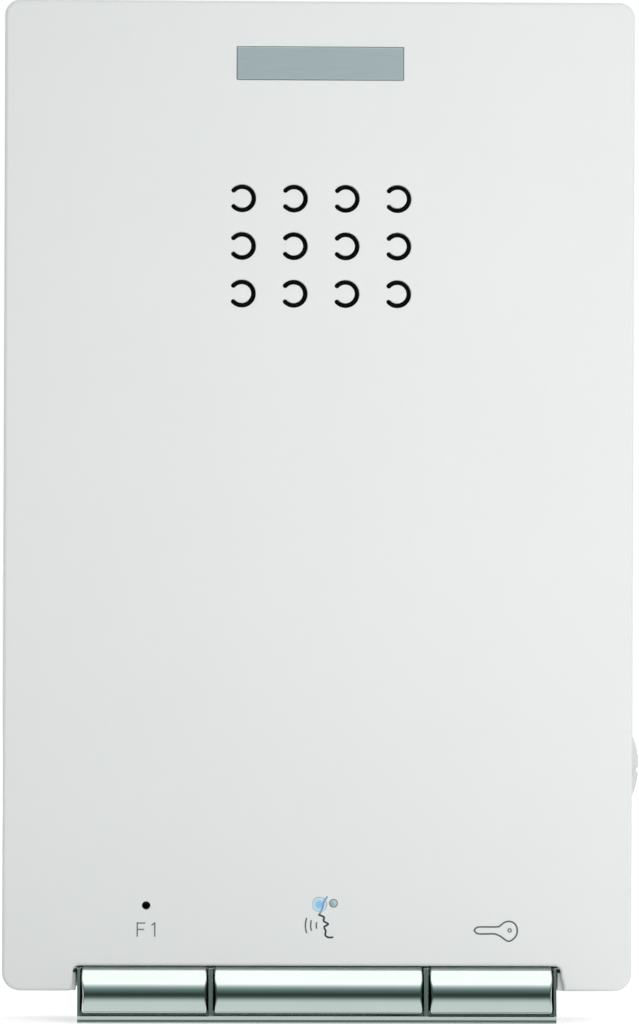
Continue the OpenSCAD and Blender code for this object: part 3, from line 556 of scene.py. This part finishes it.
def ease(piece, width, segments=EASE_STEPS, angle=EASE_ANGLE):
    """Rounds a piece's sharp edges and gives its flat faces even shading."""
    edges = piece.modifiers.new("eased edges", "BEVEL")
    edges.limit_method = "ANGLE"
    edges.angle_limit = math.radians(angle)
    edges.width = width * MM
    edges.segments = segments
    edges.use_clamp_overlap = False
    settle(piece)
    piece.data.shade_smooth()
    piece.data.set_sharp_from_angle(angle=math.radians(angle))
    even = piece.modifiers.new("even shading", "WEIGHTED_NORMAL")
    even.keep_sharp = True
    settle(piece)


def dress(piece, material):
    piece.data.materials.clear()
    piece.data.materials.append(material)


def hand_in(piece, body, slot, *nodes):
    """Rides a finished piece on its body and hides the solids that it stands for. Its slot is not used."""
    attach(piece, body)
    if nodes:
        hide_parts(*nodes)


def new_tree(name, inputs):
    """A geometry tree with named inputs; gives back the tree and the outputs of its input node."""
    tree = bpy.data.node_groups.new(name, "GeometryNodeTree")
    for label, kind in inputs:
        tree.interface.new_socket(label, in_out="INPUT", socket_type="NodeSocket" + kind)
    tree.interface.new_socket("Geometry", in_out="OUTPUT", socket_type="NodeSocketGeometry")
    return tree, add(tree, "NodeGroupInput").outputs


def close_tree(tree, geometry, material):
    """Ends a tree: real meshes in one material."""
    real = add(tree, "GeometryNodeRealizeInstances", {"Geometry": geometry})
    painted = add(tree, "GeometryNodeSetMaterial", {"Geometry": real.outputs[0], "Material": material})
    add(tree, "NodeGroupOutput", {"Geometry": painted.outputs[0]})


def run_tree(piece, tree, **values):
    """Runs a tree on a piece with the given inputs and keeps the mesh that it makes."""
    step = piece.modifiers.new(tree.name, "NODES")
    step.node_group = tree
    for item in tree.interface.items_tree:
        key = item.name.lower().replace(" ", "_")
        if item.in_out == "INPUT" and key in values:
            step[item.identifier] = values[key]
    settle(piece)


# Front cover


def cover_solid():
    """The cover's outside: straight sides, then rings that draw in to round its front edge."""
    half = COVER_W / 2
    top = COVER_H / 2
    levels = [(0.0, COVER_BACK)]
    levels += [(inset, COVER_OUT - below) for inset, below in edge_round(FRONT_EDGE_R)]
    rings = []
    for inset, out in levels:
        outline = rounded(inset - half, half - inset, inset - top, top - inset,
                          LOW_CORNER_R - inset, TOP_CORNER_R - inset)
        rings.append([at(x, up, out) for x, up in outline])
    return loft("cover_shell", rings)


def cover_cavity():
    half = COVER_W / 2 - WALL
    top = COVER_H / 2 - WALL
    return prism("cavity", rounded(-half, half, -top, top, CAVITY_R, CAVITY_R), COVER_BACK - PAST, FACE_IN)


def cover_bosses():
    deep = FACE_IN + LAP
    solids = [disc("lamp_collar", LAMP_X, LAMP_UP, LAMP_COLLAR_R, LAMP_COLLAR_OUT, deep)]
    for side in (-1, 1):
        solids.append(disc("strap_boss", side * STRAP_BOSS_X, SLOT_UP, STRAP_BOSS_R, STRAP_BOSS_OUT, deep))
    for x in LUG_BOSS_XS:
        solids.append(disc("lug_boss", x, LUG_BOSS_UP, LUG_BOSS_R, LUG_BOSS_OUT, deep))
    for left, right in KEY_SPANS.values():
        x = (left + right) / 2
        solids.append(box("key_stop", x - STOP_W / 2, x + STOP_W / 2,
                          NUB_UP - STOP_H / 2, NUB_UP + STOP_H / 2, STOP_OUT, deep))
    collar = disc("speaker_collar", 0, SLOT_UP, COLLAR_R + COLLAR_T, COLLAR_OUT, deep)
    bore = disc("collar_bore", 0, SLOT_UP, COLLAR_R, COLLAR_OUT - PAST, deep + PAST)
    combine(collar, [bore], "DIFFERENCE")
    return solids + [collar]


def notch_outline(left, right, grow=0.0):
    """An opening for the keys with round upper corners, widened by grow.
    Each side is given from its lower end, for x to the right."""
    corner = arc_line(NOTCH_HALF - NOTCH_CORNER_R, NOTCH_UP - NOTCH_CORNER_R, NOTCH_CORNER_R + grow, 0, 90,
                      CORNER_STEPS)
    halves = []
    for side in (left, right):
        x, up = side[0]
        halves.append([(x + grow, up - PAST), *((x + grow, up) for x, up in side), *corner])
    return halves[1] + [(-x, up) for x, up in reversed(halves[0])]


def key_rebate():
    """The flared rebate round the keys, with a rounded edge where it meets the cover's face."""
    levels = [(0.0, REBATE_BACK)]
    levels += [(grow, COVER_OUT - below) for grow, below in edge_round(NOTCH_EDGE_R)]
    levels.append((NOTCH_EDGE_R, COVER_OUT + PAST))
    return loft("key_rebate", [
        [at(x, up, out) for x, up in notch_outline(LEFT_FLARE, RIGHT_FLARE, grow)] for grow, out in levels])


def cover_cuts():
    front = COVER_OUT + PAST
    inside = FACE_IN - PAST
    badge_half = BADGE_W / 2 + BADGE_CLEAR
    badge_rise = BADGE_H / 2 + BADGE_CLEAR
    pocket = ((POCKET_HALF, -COVER_H / 2), (POCKET_HALF, POCKET_UP), (NOTCH_HALF, POCKET_UP))
    cuts = [
        box("badge_seat", -badge_half, badge_half, BADGE_UP - badge_rise, BADGE_UP + badge_rise,
            BADGE_BACK, front),
        disc("mic_hole", MIC_X, MIC_UP, MIC_R, inside, front),
        disc("lamp_hole", LAMP_X, LAMP_UP, LAMP_HOLE_R, inside, front),
        disc("lamp_bore", LAMP_X, LAMP_UP, LAMP_BORE_R, LAMP_COLLAR_OUT - PAST, FACE_IN),
        prism("key_pocket", notch_outline(pocket, pocket), NOTCH_BACK, front),
        key_rebate(),
        disc("wheel_slot", WHEEL_X, WHEEL_UP, WHEEL_R + WHEEL_GAP, COVER_BACK - PAST,
             WHEEL_BACK + WHEEL_T + WHEEL_GAP),
    ]
    for side in (-1, 1):
        cuts.append(disc("strap_pilot", side * STRAP_BOSS_X, SLOT_UP, PILOT_R, STRAP_BOSS_OUT - PAST,
                         STRAP_BOSS_OUT + STRAP_PILOT_L))
        wall = side * (COVER_W / 2 - WALL)
        for up in SNAP_UPS:
            cuts.append(box("snap_pocket", wall - SNAP_W / 2, wall + SNAP_W / 2,
                            up - SNAP_L / 2, up + SNAP_L / 2, SNAP_LOW, SNAP_HIGH))
    for x in LUG_BOSS_XS:
        cuts.append(disc("lug_pilot", x, LUG_BOSS_UP, PILOT_R, LUG_BOSS_OUT - PAST,
                         LUG_BOSS_OUT + LUG_PILOT_L))
    return cuts


def slot_tip(end, start):
    """The round end of a sound slot, between its sides. The slot ends at the turn end, in degrees."""
    a = math.radians(end)
    x = SLOT_R * math.cos(a)
    up = SLOT_R * math.sin(a)
    return arc_line(x, up, SLOT_W / 2, start, start + 180, SLOT_TIP_STEPS)[1:-1]


def slot_cutter():
    """One sound slot with round ends, drawn round its own middle."""
    half = SLOT_SWEEP / 2
    outline = arc_line(0, 0, SLOT_R + SLOT_W / 2, -half, half, SLOT_STEPS) + slot_tip(half, half)
    outline += arc_line(0, 0, SLOT_R - SLOT_W / 2, half, -half, SLOT_STEPS) + slot_tip(-half, 180 - half)
    return prism("sound_slot", outline, FACE_IN - PAST, COVER_OUT + PAST)


def slotted_front():
    """Cuts a grid of slots through the cover's front."""
    tree, given = new_tree("slotted front", (
        ("Geometry", "Geometry"), ("Slot", "Object"), ("Columns", "Int"), ("Rows", "Int"),
        ("Width", "Float"), ("Height", "Float"), ("Middle", "Vector"), ("Material", "Material")))
    grid = add(tree, "GeometryNodeMeshGrid", {
        "Vertices X": given["Columns"], "Vertices Y": given["Rows"],
        "Size X": given["Width"], "Size Y": given["Height"]})
    upright = add(tree, "GeometryNodeTransform", {
        "Geometry": grid.outputs["Mesh"], "Rotation": (math.radians(90), 0, 0),
        "Translation": given["Middle"]})
    slot = add(tree, "GeometryNodeObjectInfo", {"Object": given["Slot"]})
    slots = add(tree, "GeometryNodeInstanceOnPoints", {
        "Points": upright.outputs[0], "Instance": slot.outputs["Geometry"]})
    cutters = add(tree, "GeometryNodeRealizeInstances", {"Geometry": slots.outputs[0]})
    cut = add(tree, "GeometryNodeMeshBoolean", {
        "Mesh 1": given["Geometry"], "Mesh 2": cutters.outputs[0]}, operation="DIFFERENCE", solver="EXACT")
    close_tree(tree, cut.outputs["Mesh"], given["Material"])
    return tree


cover = cover_solid()
combine(cover, [cover_cavity()], "DIFFERENCE")
combine(cover, cover_bosses(), "UNION")
combine(cover, cover_cuts(), "DIFFERENCE")
slot_shape = slot_cutter()
run_tree(cover, slotted_front(), slot=slot_shape, columns=SLOT_COLUMNS, rows=SLOT_ROWS,
         width=(SLOT_COLUMNS - 1) * SLOT_PITCH_X * MM, height=(SLOT_ROWS - 1) * SLOT_PITCH_UP * MM,
         middle=at(0, SLOT_UP, 0), material=finishes["white_abs"])
drop(slot_shape)
ease(cover, COVER_EASE)
dress(cover, finishes["white_abs"])
hand_in(cover, "case", "white_abs", "front_cover")


# Badge plate


def badge():
    half = BADGE_W / 2
    rise = BADGE_H / 2
    outline = rounded(-half, half, BADGE_UP - rise, BADGE_UP + rise, BADGE_CORNER_R, BADGE_CORNER_R,
                      BADGE_CORNER_STEPS)
    return prism("badge_face", outline, BADGE_BACK, BADGE_FRONT)


badge_face = badge()
ease(badge_face, BADGE_EASE, FINE_EASE_STEPS)
dress(badge_face, finishes["badge_aluminium"])
hand_in(badge_face, "case", "badge_aluminium", "badge_plate")


# Grille cloth, stretched behind the slots


def stretched_cloth():
    """A thin round of cloth, in rings from the middle of its back to the middle of its front."""
    reach = [*CLOTH_RINGS, CLOTH_R - CLOTH_T / 2]
    levels = [(r, FACE_IN - CLOTH_T) for r in reach] + [(CLOTH_R, FACE_IN - CLOTH_T / 2)]
    levels += [(r, FACE_IN - CLOTH_CLEAR) for r in reversed(reach)]
    return loft("grille_weave", [
        [at(x, up, out) for x, up in round_outline(0, SLOT_UP, r)] for r, out in levels])


cloth = stretched_cloth()
cloth.data.shade_smooth()
dress(cloth, finishes["acoustic_cloth"])
hand_in(cloth, "case", "acoustic_cloth", "grille_cloth")


# Rocker keys


def key_ring(x, inset, draw=0.0):
    """A key's side view at x, drawn in by inset: round from its lower lip to its top, then straight back.
    The middle of its front is moved along the key by draw."""
    span = math.radians(KEY_END_SPAN)
    r = KEY_R - inset
    top = KEY_RISE - inset
    low = KEY_LOW + inset
    lip_up = low + LIP_R
    start = math.asin((lip_up - KEY_UP) / (r - LIP_R))
    lip_out = KEY_OUT + (r - LIP_R) * math.cos(start)
    end = math.asin(top / r)
    points = []
    for i in range(LIP_STEPS):
        a = start - (start + math.pi / 2) * (1 - i / LIP_STEPS)
        points.append(at(x, lip_up + LIP_R * math.sin(a), lip_out + LIP_R * math.cos(a)))
    for i in range(KEY_ARC_STEPS + 1):
        a = start + (end - start) * i / KEY_ARC_STEPS
        along = draw * math.cos(a / span * math.pi / 2) ** 2 if abs(a) < span else 0.0
        points.append(at(x + along, KEY_UP + r * math.sin(a), KEY_OUT + r * math.cos(a)))
    return points + [at(x, KEY_UP + top, WEB_BACK + inset), at(x, low, WEB_BACK + inset)]


def key_front(name, left, right):
    """The key's round front, with its ends rounded over and hollowed where they pass the dividers."""
    ends = edge_round(KEY_END_R)
    rings = [key_ring(left + along, inset, KEY_END_DRAW) for along, inset in ends]
    rings += [key_ring(right - along, inset, -KEY_END_DRAW) for along, inset in reversed(ends)]
    return loft(name, rings)


def key_hollow(left, right):
    r = KEY_R - KEY_WALL
    top = KEY_RISE - KEY_WALL
    start = -math.pi / 2
    end = math.asin(top / r)
    outline = []
    for i in range(KEY_ARC_STEPS + 1):
        a = start + (end - start) * i / KEY_ARC_STEPS
        outline.append((KEY_UP + r * math.sin(a), KEY_OUT + r * math.cos(a)))
    outline += [(KEY_UP + top, WEB_BACK - PAST), (KEY_LOW - PAST, WEB_BACK - PAST)]
    return bar("key_hollow", outline, left + KEY_END_T, right - KEY_END_T)


def sill_relief(left, right):
    """Room in a key's ends for the frame's sill."""
    low = KEY_LOW - PAST
    outline = [(low, RELIEF_BACK), (RELIEF_UP, RELIEF_BACK), (RELIEF_UP, RELIEF_FRONT), (low, RELIEF_FRONT)]
    return bar("sill_relief", outline, left - PAST, right + PAST)


def rocker_key(name, left, right):
    """A whole key: hollow front, web, two ears on the pivot rod, and the nub over its switch."""
    key = key_front(name, left, right)
    combine(key, [key_hollow(left, right), sill_relief(left, right)], "DIFFERENCE")
    middle = (left + right) / 2
    nub_side = NUB_W / 2
    neck = NUB_NECK / 2
    parts = [
        box("web", left + KEY_END_R, right - KEY_END_R, KEY_UP + KEY_RISE - KEY_WALL, WEB_HIGH,
            WEB_BACK, WEB_FRONT),
        box("nub_neck", middle - nub_side, middle + nub_side, NUB_UP - neck, NUB_UP + neck,
            NUB_OUT, WEB_BACK + LAP),
        bar("nub", round_outline(NUB_UP, NUB_OUT, NUB_R), middle - nub_side, middle + nub_side),
    ]
    for start in (left, right - EAR_L):
        parts.append(box("ear_root", start, start + EAR_L, WEB_HIGH - LAP, PIVOT_UP, WEB_BACK, WEB_FRONT))
        parts.append(bar("ear", round_outline(PIVOT_UP, PIVOT_OUT, EAR_R), start, start + EAR_L))
    combine(key, parts, "UNION")
    hole = bar("rod_hole", round_outline(PIVOT_UP, PIVOT_OUT, ROD_HOLE_R), left - PAST, right + PAST)
    combine(key, [hole], "DIFFERENCE")
    ease(key, KEY_EASE)
    dress(key, finishes["key_chrome"])
    return key


for label, (left, right) in KEY_SPANS.items():
    hand_in(rocker_key("rocker_" + label, left, right), label + "_key", "key_chrome", "key_" + label)


# Key frame and rear base: copies of the solids with their edges eased


def long_sill():
    """The sill on the frame's rail, run from end to end so that it closes the view in below the keys."""
    top = RAIL_UP + SILL_RISE
    low = RAIL_UP - LAP
    outline = [(low, SILL_BACK), (top, SILL_BACK), (top, SILL_FRONT), (low, SILL_FRONT - SILL_LEAN)]
    reach = FRAME_HALF - SILL_INTO_WALL
    return bar("long_sill", outline, -reach, reach)


def move_lines(shape, moves):
    """Moves lines that run along x, each given by its up and out."""
    for (up, out), (new_up, new_out) in moves:
        for vert in shape.verts:
            if abs(vert.co.z - up * MM) < NEAR * MM and abs(-vert.co.y - out * MM) < NEAR * MM:
                vert.co = at(vert.co.x / MM, new_up, new_out)


def eased_copy(node, name, width, angle, added, moves):
    """A copy of a solid with its lines moved, other solids added and its edges eased."""
    shape = bmesh.new()
    shape.from_mesh(frame["nodes"][node].data)
    bmesh.ops.remove_doubles(shape, verts=shape.verts, dist=MERGE * MM)
    bmesh.ops.dissolve_limit(
        shape, angle_limit=math.radians(FLAT_ANGLE), verts=shape.verts, edges=shape.edges)
    move_lines(shape, moves)
    mesh = bpy.data.meshes.new(name)
    shape.to_mesh(mesh)
    shape.free()
    piece = new_piece(name, mesh)
    if added:
        combine(piece, added, "UNION")
    ease(piece, width, angle=angle)
    return piece


for node, name, slot, width, angle, added, moves in (
        ("key_frame", "key_bar_frame", "frame_chrome", FRAME_EASE, FRAME_EASE_ANGLE, [long_sill()],
         RAIL_LINES),
        ("rear_base", "rear_shell", "base_abs", BASE_EASE, EASE_ANGLE, [], ())):
    part = eased_copy(node, name, width, angle, added, moves)
    dress(part, finishes[slot])
    hand_in(part, "case", slot, node)


# Thumbwheel


def thumbwheel():
    """A wheel on the Z axis with grooves cut round its rim, turned to face out of the wall."""
    tree, given = new_tree("thumbwheel", (
        ("Geometry", "Geometry"), ("Radius", "Float"), ("Thickness", "Float"), ("Bore", "Float"),
        ("Grooves", "Int"), ("Groove radius", "Float"), ("Groove reach", "Float"), ("Turn", "Vector"),
        ("Middle", "Vector"), ("Material", "Material")))
    body = add(tree, "GeometryNodeMeshCylinder", {
        "Vertices": WHEEL_SIDES, "Radius": given["Radius"], "Depth": given["Thickness"]})
    deep = add(tree, "ShaderNodeMath", {0: given["Thickness"], 1: 2.0}, operation="MULTIPLY")
    groove = add(tree, "GeometryNodeMeshCylinder", {
        "Vertices": GRIP_SIDES, "Radius": given["Groove radius"], "Depth": deep.outputs[0]})
    bore = add(tree, "GeometryNodeMeshCylinder", {
        "Vertices": ROUND_STEPS, "Radius": given["Bore"], "Depth": deep.outputs[0]})
    places = add(tree, "GeometryNodeMeshCircle", {
        "Vertices": given["Grooves"], "Radius": given["Groove reach"]})
    grooves = add(tree, "GeometryNodeInstanceOnPoints", {
        "Points": places.outputs["Mesh"], "Instance": groove.outputs["Mesh"]})
    cutters = add(tree, "GeometryNodeRealizeInstances", {"Geometry": grooves.outputs[0]})
    both = add(tree, "GeometryNodeJoinGeometry")
    tree.links.new(cutters.outputs[0], both.inputs[0])
    tree.links.new(bore.outputs["Mesh"], both.inputs[0])
    cut = add(tree, "GeometryNodeMeshBoolean", {
        "Mesh 1": body.outputs["Mesh"], "Mesh 2": both.outputs[0]}, operation="DIFFERENCE", solver="EXACT")
    turned = add(tree, "GeometryNodeTransform", {
        "Geometry": cut.outputs["Mesh"], "Rotation": given["Turn"]})
    upright = add(tree, "GeometryNodeTransform", {
        "Geometry": turned.outputs[0], "Rotation": (math.radians(90), 0, 0),
        "Translation": given["Middle"]})
    close_tree(tree, upright.outputs[0], given["Material"])
    return tree


wheel = new_piece("thumbwheel_rim", bpy.data.meshes.new("thumbwheel_rim"))
run_tree(wheel, thumbwheel(), radius=WHEEL_R * MM, thickness=WHEEL_T * MM, bore=WHEEL_BORE_R * MM,
         grooves=GRIP_COUNT, groove_radius=GRIP_R * MM, groove_reach=GRIP_REACH * MM,
         turn=Vector((0, 0, math.radians(GRIP_TURN))),
         middle=at(WHEEL_X, WHEEL_UP, WHEEL_BACK + WHEEL_T / 2), material=finishes["wheel_abs"])
ease(wheel, WHEEL_EASE, FINE_EASE_STEPS)
dress(wheel, finishes["wheel_abs"])
hand_in(wheel, "wheel", "wheel_abs", "volume_wheel")


# Printed marks


def smooth_line(points, closed=False, steps=8):
    """A smooth line through the given points."""
    count = len(points)
    line = []
    for i in range(count if closed else count - 1):
        if closed:
            a, b, c, d = (Vector(points[(i + k) % count]) for k in (-1, 0, 1, 2))
        else:
            a, b, c, d = (Vector(points[min(max(i + k, 0), count - 1)]) for k in (-1, 0, 1, 2))
        for k in range(steps):
            t = k / steps
            line.append(0.5 * (2 * b + (c - a) * t + (2 * a - 5 * b + 4 * c - d) * t * t
                               + (3 * b - a - 3 * c + d) * t ** 3))
    if not closed:
        line.append(Vector(points[-1]))
    return line


def printed_strokes():
    """Lays a thin ribbon of ink along lines drawn in X and Y, and stands it up on the cover's face."""
    tree, given = new_tree("printed strokes", (
        ("Geometry", "Geometry"), ("Stroke", "Float"), ("Ink", "Float"), ("Face", "Vector"),
        ("Material", "Material")))
    lines = add(tree, "GeometryNodeMeshToCurve", {"Mesh": given["Geometry"]})
    level = add(tree, "GeometryNodeSetCurveNormal", {"Curve": lines.outputs[0]}, mode="Z_UP")
    ribbon = add(tree, "GeometryNodeCurvePrimitiveQuadrilateral", {
        "Width": given["Stroke"], "Height": given["Ink"]})
    swept = add(tree, "GeometryNodeCurveToMesh", {
        "Curve": level.outputs[0], "Profile Curve": ribbon.outputs[0], "Fill Caps": True})
    upright = add(tree, "GeometryNodeTransform", {
        "Geometry": swept.outputs[0], "Rotation": (math.radians(90), 0, 0), "Translation": given["Face"]})
    close_tree(tree, upright.outputs[0], given["Material"])
    return tree


stroke_tree = printed_strokes()


def printed_mark(name, lines, stroke, ink):
    """A printed mark: each line is its points, in x and up, and whether it closes."""
    shape = bmesh.new()
    for points, closed in lines:
        row = [shape.verts.new((p[0] * MM, p[1] * MM, 0)) for p in points]
        for a, b in zip(row, row[1:]):
            shape.edges.new((a, b))
        if closed:
            shape.edges.new((row[-1], row[0]))
    mesh = bpy.data.meshes.new(name)
    shape.to_mesh(mesh)
    shape.free()
    mark = new_piece(name, mesh)
    run_tree(mark, stroke_tree, stroke=stroke * MM, ink=INK_T * MM, face=at(0, 0, COVER_OUT + INK_LIFT),
             material=inks[ink])
    shape = bmesh.new()
    shape.from_mesh(mark.data)
    bmesh.ops.recalc_face_normals(shape, faces=shape.faces)
    shape.to_mesh(mark.data)
    shape.free()
    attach(mark, "case")


def key_mark():
    """A plain key: a round-ended shank that widens into its bow."""
    outline = [
        (22.45, -61.95), (22.8, -61.55), (23.4, -61.46), (25.7, -61.44), (26.2, -61.22), (26.7, -60.85),
        (27.35, -60.65), (28.05, -60.85), (28.48, -61.4), (28.58, -62.05), (28.42, -62.7), (27.95, -63.25),
        (27.4, -63.5), (26.9, -63.3), (26.25, -62.83), (25.6, -62.52), (25.0, -62.44), (23.4, -62.46),
        (22.8, -62.36)]
    return smooth_line(outline, closed=True)


# A head seen from the side, speaking: brow, nose, lips and chin, each no more than a bend in one line.
brow_line = smooth_line([(1.45, -57.15), (0.95, -57.9), (0.75, -58.7), (0.32, -59.7)])
speaker_line = smooth_line([
    (0.32, -59.7), (0.3, -59.8), (0.95, -60.1), (0.9, -60.65), (1.55, -61.1),
    (1.0, -61.5), (1.2, -62.1), (1.15, -62.7), (1.65, -63.0), (2.3, -62.95)])
f1_lines = [
    ([(-25.7, -62.94), (-25.7, -60.9)], False), ([(-25.7, -60.99), (-24.55, -60.99)], False),
    ([(-25.7, -61.9), (-24.72, -61.9)], False), ([(-23.2, -62.94), (-23.2, -60.9)], False),
    ([(-23.66, -61.32), (-23.2, -60.96)], False)]
sound_lines = [(arc_line(*MOUTH, r, 180 - reach, 180 + reach), False) for r, reach in SOUND_ARCS]
printed_mark("mark_f1", f1_lines, stroke=0.2, ink="mid grey")
printed_mark("mark_brow", [(brow_line, False)], stroke=0.25, ink="blue")
printed_mark("mark_speaker", [(speaker_line, False)], stroke=0.27, ink="dark grey")
printed_mark("mark_sound", sound_lines, stroke=0.2, ink="slate grey")
printed_mark("mark_eye", [(round_outline(*EYE, 0.56, 24), True)], stroke=0.14, ink="mid grey")
printed_mark("mark_key", [(key_mark(), True)], stroke=0.23, ink="slate grey")
printed_mark("mark_key_hole", [(round_outline(*BOW_HOLE, 0.24, 12), True)], stroke=0.2, ink="mid grey")
printed_mark("mark_eye_fill", [(round_outline(*EYE, 0.24, 24), True)], stroke=0.49, ink="pale teal")


# Materials for the solids that are shown as they are


slots = {part["node"]: part["material_slot"] for part in frame["record"]["subparts"]}
for node, solid in frame["nodes"].items():
    dress(solid, finishes[slots[node]])


# Studio

FLOOR_HALF = 10.0
STUDIO_LEVEL = 1.35
SIDE_LEVEL = 0.22
TOP_LEVEL = 0.68
FLOOR_LIFT = 0.5
# What metal sees in front, from straight down to straight up, as a height from 0 to 1 and a colour
STUDIO_RAMP = (
    (0.01, "#4c5250"), (0.05, "#c4caca"), (0.27, "#c0c6c6"), (0.335, "#a8aeae"), (0.39, "#727b7a"),
    (0.445, "#36413f"), (0.52, "#303b39"), (0.62, "#566b69"), (0.68, "#7d8b8a"), (0.74, "#babec0"),
    (0.79, "#ffffff"))
BEHIND_FROM = -0.2
BEHIND_TO = 0.3
SOFT_FROM = -0.6
SOFT_TO = 0.9
floor_up = cad_box[0][2]
floor_mesh = bpy.data.meshes.new("floor")
floor_mesh.from_pydata(
    [(x * FLOOR_HALF, y * FLOOR_HALF, floor_up) for x, y in ((-1, -1), (1, -1), (1, 1), (-1, 1))],
    [], [(0, 1, 2, 3)])
floor = new_piece("floor", floor_mesh)


def pale_floor():
    """A matt pale floor. The camera sees a little more of it, so that it meets the white behind it."""
    material = bpy.data.materials.new("pale studio floor")
    tree = fresh_tree(material)
    matt = add(tree, "ShaderNodeBsdfDiffuse", {"Color": hex_colour("#ededeb")})
    seen = add(tree, "ShaderNodeLightPath").outputs["Is Camera Ray"]
    lift = add(tree, "ShaderNodeMath", {0: seen, 1: FLOOR_LIFT}, operation="MULTIPLY")
    glow = add(tree, "ShaderNodeEmission", {"Strength": lift.outputs[0]})
    both = add(tree, "ShaderNodeAddShader", {0: matt.outputs[0], 1: glow.outputs[0]})
    add(tree, "ShaderNodeOutputMaterial", {"Surface": both.outputs[0]})
    return material


dress(floor, pale_floor())
floor.visible_glossy = False


def studio_world():
    """White for the camera. Metal sees a studio: white overhead and behind, a dim band at eye level in
    front and a pale table below. Matt surfaces get soft light that is stronger from above."""
    world = bpy.data.worlds.new("studio")
    tree = fresh_tree(world)
    way = add(tree, "ShaderNodeTexCoord").outputs["Generated"]
    parts = add(tree, "ShaderNodeSeparateXYZ", {0: way})
    level = add(tree, "ShaderNodeMapRange", {
        "Value": parts.outputs["Z"], "From Min": -1.0, "From Max": 1.0})
    room = add(tree, "ShaderNodeValToRGB", {"Fac": level.outputs[0]})
    stops = room.color_ramp.elements
    stops.remove(stops[1])
    stops[0].position = STUDIO_RAMP[0][0]
    stops[0].color = hex_colour(STUDIO_RAMP[0][1])
    for position, code in STUDIO_RAMP[1:]:
        stops.new(position).color = hex_colour(code)
    behind = add(tree, "ShaderNodeMapRange", {
        "Value": parts.outputs["Y"], "From Min": BEHIND_FROM, "From Max": BEHIND_TO})
    around = add(tree, "ShaderNodeMix", {
        0: behind.outputs[0], 6: room.outputs[0], 7: hex_colour("#ffffff")}, data_type="RGBA")
    studio = add(tree, "ShaderNodeBackground", {"Color": around.outputs[2], "Strength": STUDIO_LEVEL})
    overhead = add(tree, "ShaderNodeMapRange", {
        "Value": parts.outputs["Z"], "From Min": SOFT_FROM, "From Max": SOFT_TO,
        "To Min": SIDE_LEVEL, "To Max": TOP_LEVEL})
    soft = add(tree, "ShaderNodeBackground", {
        "Color": hex_colour("#fbfdff"), "Strength": overhead.outputs[0]})
    white = add(tree, "ShaderNodeBackground", {"Color": hex_colour("#ffffff"), "Strength": 1.0})
    path = add(tree, "ShaderNodeLightPath").outputs
    mirror = add(tree, "ShaderNodeMath", {0: path["Is Glossy Ray"], 1: path["Is Transmission Ray"]},
                 operation="MAXIMUM")
    lit = add(tree, "ShaderNodeMixShader", {
        0: mirror.outputs[0], 1: soft.outputs[0], 2: studio.outputs[0]})
    mix = add(tree, "ShaderNodeMixShader", {
        0: path["Is Camera Ray"], 1: lit.outputs[0], 2: white.outputs[0]})
    add(tree, "ShaderNodeOutputWorld", {"Surface": mix.outputs[0]})
    return world


bpy.context.scene.world = studio_world()


def soft_lamp(name, place, aim, size, power):
    """A square lamp that neither the camera nor metal sees, with its place and size in metres."""
    lamp = bpy.data.lights.new(name, "AREA")
    lamp.size = size
    lamp.energy = power
    holder = bpy.data.objects.new(name, lamp)
    bpy.context.scene.collection.objects.link(holder)
    holder.location = place
    holder.rotation_euler = (Vector(aim) - Vector(place)).to_track_quat("-Z", "Y").to_euler()
    holder.visible_camera = False
    holder.visible_glossy = False


soft_lamp("key light", place=(0.1, -0.292, 0.04), aim=(0, -0.022, 0), size=0.16, power=0.36)
soft_lamp("rear fill", place=(0.4, 0.9, 0.6), aim=(0, 0, 0), size=0.5, power=6.0)

# Camera: a long lens, a little to the left of the station's middle
YAW = math.radians(1.725)
PITCH = math.radians(0.125)
ROLL = math.radians(0.206)
DISTANCE = 1.0
AIM = Vector((0.0001, -0.022, -0.00226))
FOCUS_PX = 7003.2
IMAGE_H = 1024
SENSOR = 24.0
camera = bpy.data.objects.new("camera", bpy.data.cameras.new("camera"))
bpy.context.scene.collection.objects.link(camera)
ahead = Vector((math.sin(YAW) * math.cos(PITCH), math.cos(YAW) * math.cos(PITCH), math.sin(PITCH)))
level_x = Vector((math.cos(YAW), -math.sin(YAW), 0))
level_up = level_x.cross(ahead)
across = math.cos(ROLL) * level_x + math.sin(ROLL) * level_up
upward = math.cos(ROLL) * level_up - math.sin(ROLL) * level_x
turn = Matrix((across, upward, -ahead)).transposed().to_4x4()
camera.matrix_world = Matrix.Translation(AIM - ahead * DISTANCE) @ turn
camera.data.sensor_fit = "VERTICAL"
camera.data.sensor_height = SENSOR
camera.data.lens = FOCUS_PX / IMAGE_H * SENSOR
bpy.context.scene.camera = camera
bpy.context.scene.view_settings.view_transform = "Standard"
